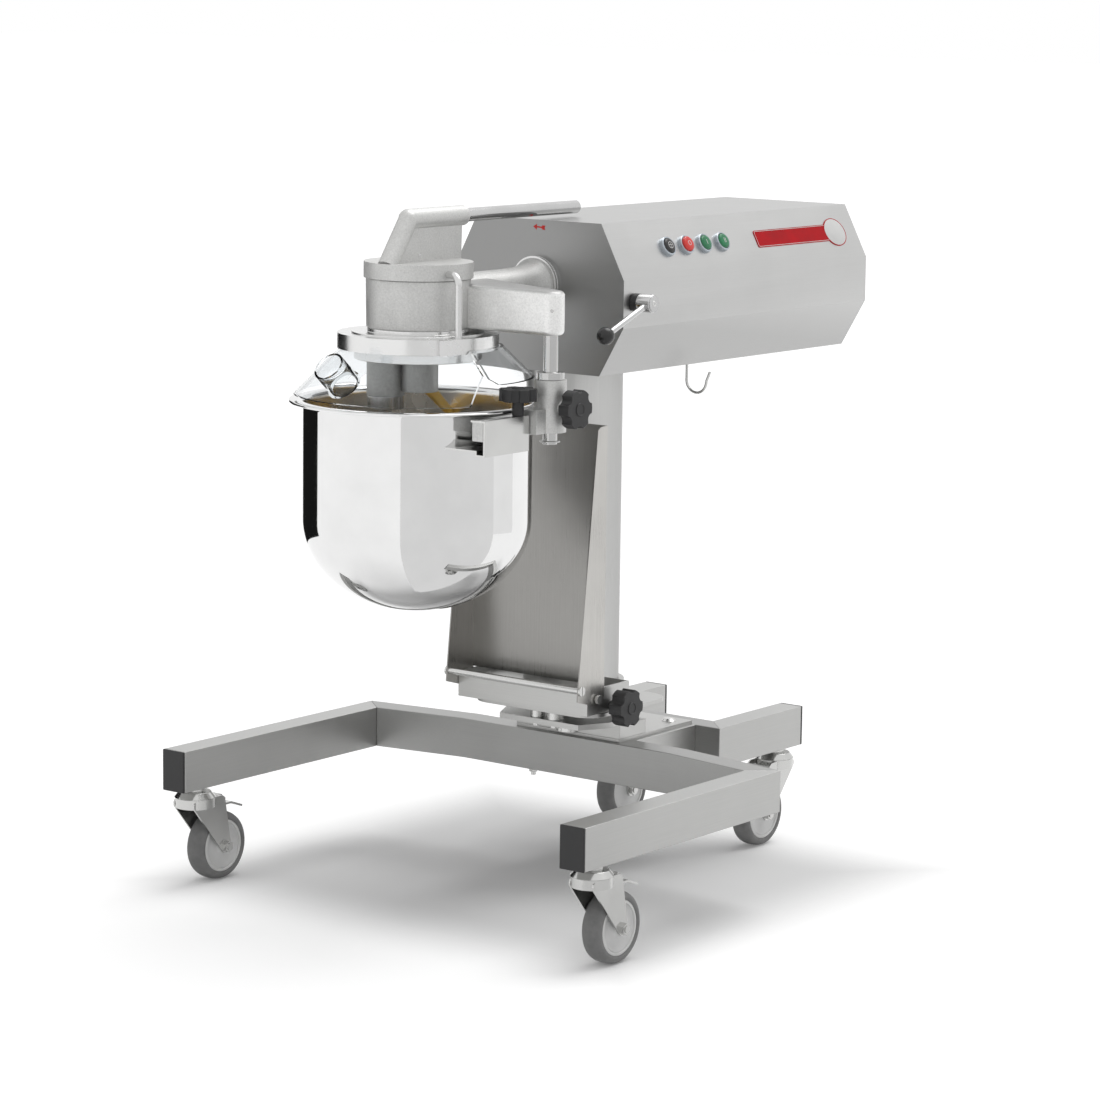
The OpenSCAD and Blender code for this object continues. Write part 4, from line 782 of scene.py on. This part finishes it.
def guards():
    """Both clear sheets, each trimmed to a straight edge beside the arm, and the chute."""
    cut_from, cut_distance, cut_slope = math.radians(-60), 0.1241, 0.3948
    middle = math.radians(-112)
    rear_distance, rear_slope = 0.1765, 0.9425

    def front_trim(a):
        a = middle + abs(a - middle)
        if a <= cut_from:
            return 1.0
        return cut_distance / max(0.1, math.cos(a) + cut_slope * math.sin(a))

    def rear_trim(a):
        return rear_distance / (math.cos(a) - rear_slope * math.sin(a)) if a < 0 else 1.0

    clear_sheet("splash_guard_sheet", "splash_guard", *FRONT_CONE, *FRONT_ARC, front_trim)
    clear_sheet("rear_guard_sheet", "rear_guard", *REAR_CONE, *REAR_ARC, rear_trim)
    chute()


def arc(centre, radius, start, end, steps):
    return [(centre[0] + radius * math.cos(t), centre[1] + radius * math.sin(t)) for t in
            [math.radians(start + (end - start) * i / steps) for i in range(steps + 1)]]


def head_casting():
    """Round body, flared neck and the arm to the post with soft edges.
    The cavity stays the CAD solid's own."""
    metal, body, slot = MATERIALS["cast_aluminium"], BODY_OF["head_casting"], "cast_aluminium"

    def in_cavity(c):
        return from_head(c) < CAVITY_LIMIT and c.z < CAVITY_TOP

    dress("head_casting", keep=in_cavity, suffix="_cavity")
    shell = lathe([
        (0.0655, 0.828), (0.0695, 0.828), (0.0708, 0.8290), (0.0711, 0.8305), (0.0716, 0.860),
        (0.0720, 0.8940), (0.0716, 0.8954), (0.0704, 0.8960), (0.030, 0.8960), (0.030, 0.9100),
        (0, 0.9100),
    ], 96, "Z", HEAD, closed=False)
    from_bmesh("head_casting_body", shell, metal, body, sharp=50)
    neck = lathe([
        (0, -0.289), (0.0250, -0.289), (0.0252, -0.170), (0.0262, -0.140), (0.0285, -0.125),
        (0.0320, -0.1135), (0.0355, -0.1055), (0.0370, -0.1020), (0.0366, -0.1012), (0.0150, -0.1012),
    ], 72, "Y", (0, 0, 0.871), closed=False)
    from_bmesh("head_casting_neck", neck, metal, body, sharp=50)
    outline = arc((0.197, -0.314), 0.018, -90, 68.1, 16) + [(0.002, -0.2165), (0.002, -0.2880)]
    first = len(outline)
    outline += arc((0, HEAD.y), 0.0673, 88, 20.9, 12)
    last = len(outline)
    outline.append((0.0668, -0.3320))
    arm = pillow(outline, 0.828, 0.888, 0.0065, sharp=range(first, last))
    # the arm gets the brighter cast metal with painted light and a painted shade on its top
    from_bmesh("head_casting_arm", arm, CAST_ARM_PAINTED_LIGHT, body, sharp=50)
    pin = lathe([(0, 0), (0.0022, 0), (0.0030, -0.0005), (0.0030, -0.002)], 32, "Z", closed=False)
    out = Vector((0.64, -0.77, 0))
    at = Vector((0.197, -0.314, 0.862)) + out * 0.0181
    pin.transform(place_matrix(at, (0.77, 0.64, 0), (0, 0, 1)))
    from_bmesh("head_casting_pin", pin, MATERIALS["fastener_steel"], body)


def clamp_lever():
    """Clamping lever with a black ball and a black washer, over the CAD solid's shaft and hub."""
    body = BODY_OF["clamp_lever"]
    grip_r = 0.0125

    def on_shaft(c):
        return (c - LEVER_BALL).length > grip_r + 0.0005 and c.x > 0.1690

    dress("clamp_lever", ROD_STEEL, 0.0010, keep=on_shaft)
    turns = [math.pi * i / 32 for i in range(33)]
    grip = [(grip_r * math.sin(t), -grip_r * math.cos(t)) for t in turns]
    piece = lathe(grip, 48, "Z", LEVER_BALL, closed=False)
    from_bmesh("clamp_lever_ball", piece, MATERIALS["button_black"], body)
    washer = lathe([(0.0050, 0.1541), (0.0118, 0.1541), (0.0128, 0.1550), (0.0128, 0.1640),
                    (0.0118, 0.1650), (0.0050, 0.1650)], 48, "X", LEVER_HUB)
    from_bmesh("clamp_lever_washer", washer, MATERIALS["black_plastic"], body)
    boss = lathe([(0.0050, 0.1645), (0.0118, 0.1645), (0.0126, 0.1655), (0.0128, 0.1700),
                  (0.0128, 0.1868), (0.0120, 0.1878), (0.0096, 0.1880), (0.0090, 0.1874), (0, 0.1874)],
                 64, "X", LEVER_HUB, closed=False)
    from_bmesh("clamp_lever_boss", boss, ROD_STEEL, body)
    screw = lathe([(0, 0.1888), (0.0016, 0.1888), (0.0020, 0.1894), (0.0042, 0.1894), (0.0046, 0.1888),
                   (0.0048, 0.1872)], 32, "X", LEVER_HUB, closed=False)
    from_bmesh("clamp_lever_screw", screw, MATERIALS["fastener_steel"], body)


def knob_discs():
    """Round cap in the middle of each star knob's face."""
    for node, axis in (("clamp_knob", "X"), ("lock_knob", "X"), ("bracket_knob", "Z")):
        low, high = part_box(node)
        middle = (low + high) / 2
        cap = [(0, 0.0004), (0.0070, 0.0004), (0.0078, 0.0012), (0.0088, 0.0012), (0.0094, 0.0004),
               (0.0094, -0.002)]
        if axis == "X":
            at = (high.x, middle.y, middle.z)
        else:
            at = (middle.x, middle.y, high.z)
        piece = lathe(cap, 48, axis, at, closed=False)
        from_bmesh(node + "_disc", piece, MATERIALS["black_plastic"], BODY_OF[node])


dress_all()
casters()
bowl()
guards()
knob_discs()
head_casting()
clamp_lever()
nameplate()
buttons()
cap_pin()
turning_arrow()
handle_end()


# Studio

def floor_and_light():
    bm = bmesh.new()
    bmesh.ops.create_grid(bm, x_segments=1, y_segments=1, size=40)
    mesh = bpy.data.meshes.new("floor")
    bm.to_mesh(mesh)
    bm.free()
    floor = bpy.data.objects.new("floor", mesh)
    scene.collection.objects.link(floor)
    mat = bpy.data.materials.new("floor_white")
    mat.use_nodes = True
    tree = mat.node_tree
    bsdf = tree.nodes["Principled BSDF"]
    bsdf.inputs["Base Color"].default_value = (0.80, 0.80, 0.80, 1)
    bsdf.inputs["Roughness"].default_value = 0.9
    bsdf.inputs["Specular IOR Level"].default_value = 0.0
    path = tree.nodes.new("ShaderNodeLightPath")
    glow = tree.nodes.new("ShaderNodeEmission")

    def math_node(operation, first, second):
        node = tree.nodes.new("ShaderNodeMath")
        node.operation = operation
        for socket, value in zip(node.inputs, (first, second)):
            if isinstance(value, (int, float)):
                socket.default_value = value
            else:
                tree.links.new(value, socket)
        return node.outputs[0]

    def outside(value, middle, half, soft):
        """Mask of the painted shadow: 0 below the machine, rising to 1 beside it."""
        reach = math_node("ABSOLUTE", math_node("SUBTRACT", value, middle), 0)
        ramp = tree.nodes.new("ShaderNodeMapRange")
        ramp.interpolation_type = "SMOOTHSTEP"
        tree.links.new(reach, ramp.inputs["Value"])
        ramp.inputs["From Min"].default_value = half - soft
        ramp.inputs["From Max"].default_value = half + soft
        return ramp.outputs["Result"]

    place = tree.nodes.new("ShaderNodeSeparateXYZ")
    tree.links.new(tree.nodes.new("ShaderNodeTexCoord").outputs["Object"], place.inputs[0])
    # the floor's glow is lowered under the machine: a painted shadow, seen by the camera and in
    # reflections
    beside = math_node("MAXIMUM", outside(place.outputs["X"], *PAINTED_SHADOW_X, PAINTED_SHADOW_SOFT),
                       outside(place.outputs["Y"], *PAINTED_SHADOW_Y, PAINTED_SHADOW_SOFT))
    seen = math_node("MAXIMUM", path.outputs["Is Camera Ray"], path.outputs["Is Glossy Ray"])
    level = math_node("ADD", math_node("MULTIPLY", beside, FLOOR_RISE), PAINTED_SHADOW_LEVEL)
    tree.links.new(math_node("MULTIPLY", seen, level), glow.inputs["Strength"])
    both = tree.nodes.new("ShaderNodeAddShader")
    tree.links.new(bsdf.outputs[0], both.inputs[0])
    tree.links.new(glow.outputs[0], both.inputs[1])
    tree.links.new(both.outputs[0], tree.nodes["Material Output"].inputs["Surface"])
    mesh.materials.append(mat)

    world = bpy.data.worlds.new("studio")
    scene.world = world
    world.use_nodes = True
    wt = world.node_tree
    back = wt.nodes["Background"]
    path = wt.nodes.new("ShaderNodeLightPath")
    total = wt.nodes.new("ShaderNodeMath")
    total.operation = "MAXIMUM"
    wt.links.new(path.outputs["Is Camera Ray"], total.inputs[0])
    wt.links.new(path.outputs["Is Transmission Ray"], total.inputs[1])
    strength = wt.nodes.new("ShaderNodeMapRange")
    wt.links.new(total.outputs[0], strength.inputs["Value"])
    strength.inputs["To Min"].default_value = 0.45
    strength.inputs["To Max"].default_value = 1.0
    glossy = wt.nodes.new("ShaderNodeMath")
    glossy.operation = "MAXIMUM"
    wt.links.new(strength.outputs["Result"], glossy.inputs[0])
    wt.links.new(path.outputs["Is Glossy Ray"], glossy.inputs[1])
    wt.links.new(glossy.outputs[0], back.inputs["Strength"])
    back.inputs["Color"].default_value = (1, 1, 1, 1)

    sun("sun", LAMP_FROM, LAMP_STRENGTH, LAMP_WIDTH)


def sun(name, source, strength, spread):
    """A wide soft lamp from a direction, the same over the whole floor."""
    data = bpy.data.lights.new(name, "SUN")
    data.energy = strength
    data.angle = math.radians(spread)
    lamp = bpy.data.objects.new(name, data)
    scene.collection.objects.link(lamp)
    lamp.matrix_world = (-Vector(source)).to_track_quat("-Z", "Y").to_matrix().to_4x4()
    return lamp


def studio_card(name, corners, grey):
    """A plain card at an even grey that is only seen as a reflection in metal."""
    mesh = bpy.data.meshes.new(name)
    strip = [(i, i + 1, i + 3, i + 2) for i in range(0, len(corners) - 2, 2)]
    mesh.from_pydata([Vector(c) for c in corners], [], strip)
    card = bpy.data.objects.new(name, mesh)
    scene.collection.objects.link(card)
    mat = bpy.data.materials.new(name)
    mat.use_nodes = True
    bsdf = mat.node_tree.nodes["Principled BSDF"]
    bsdf.inputs["Base Color"].default_value = (0, 0, 0, 1)
    bsdf.inputs["Roughness"].default_value = 1.0
    bsdf.inputs["Specular IOR Level"].default_value = 0.0
    bsdf.inputs["Emission Color"].default_value = (grey, grey, grey, 1)
    bsdf.inputs["Emission Strength"].default_value = 1.0
    mesh.materials.append(mat)
    card.visible_camera = False
    card.visible_diffuse = False
    card.visible_shadow = False
    card.visible_transmission = False


def curved_card(name, radius, start, end, low, high, grey):
    """A standing card bent around the set between two directions in degrees."""
    corners = []
    for i in range(25):
        a = math.radians(start + (end - start) * i / 24)
        x, y = radius * math.cos(a), HEAD.y + radius * math.sin(a)
        corners += [(x, y, low), (x, y, high)]
    studio_card(name, corners, grey)


def floor_card(name, inner, outer, start, end, grey):
    """A card on the floor in front of a standing one."""
    corners = []
    for i in range(25):
        a = math.radians(start + (end - start) * i / 24)
        for radius in (inner, outer):
            corners.append((radius * math.cos(a), HEAD.y + radius * math.sin(a), 0.003))
    studio_card(name, corners, grey)


def camera():
    """The photo's viewpoint, solved from the frame tubes and the housing."""
    focal, centre_u, centre_v, image = 3680.0, 594.7, 541.3, 1100.0
    yaw, pitch, roll = math.radians(36.8), math.radians(9.0), math.radians(0.82)
    data = bpy.data.cameras.new("photo_camera")
    data.sensor_width = 36.0
    data.lens = focal / image * 36.0
    data.shift_x = -(centre_u - image / 2) / image
    data.shift_y = (centre_v - image / 2) / image
    data.clip_end = 60.0
    obj = bpy.data.objects.new("photo_camera", data)
    scene.collection.objects.link(obj)
    turn = Matrix.Rotation(yaw, 4, "Z") @ Matrix.Rotation(math.pi / 2 - pitch, 4, "X")
    obj.matrix_world = Matrix.Translation((3.201, -4.225, 1.329)) @ turn @ Matrix.Rotation(roll, 4, "Z")
    scene.camera = obj


floor_and_light()
studio_card("dark_card_left", [(DARK_X, y, z) for y in (DARK_FRONT, DARK_REAR) for z in (0, DARK_TALL)],
            DARK_LEVEL)
curved_card("grey_card_right", CARD_FAR, GREY_FROM, GREY_TO, 0.0, CARD_TALL, GREY_LEVEL)
curved_card("pale_card_right", CARD_FAR, GREY_TO, PALE_TO, 0.0, CARD_TALL, PALE_LEVEL)
floor_card("grey_card_floor", 0.02, CARD_FAR, GREY_FROM, GREY_TO, GREY_LEVEL)
camera()
scene.view_settings.view_transform = "Standard"
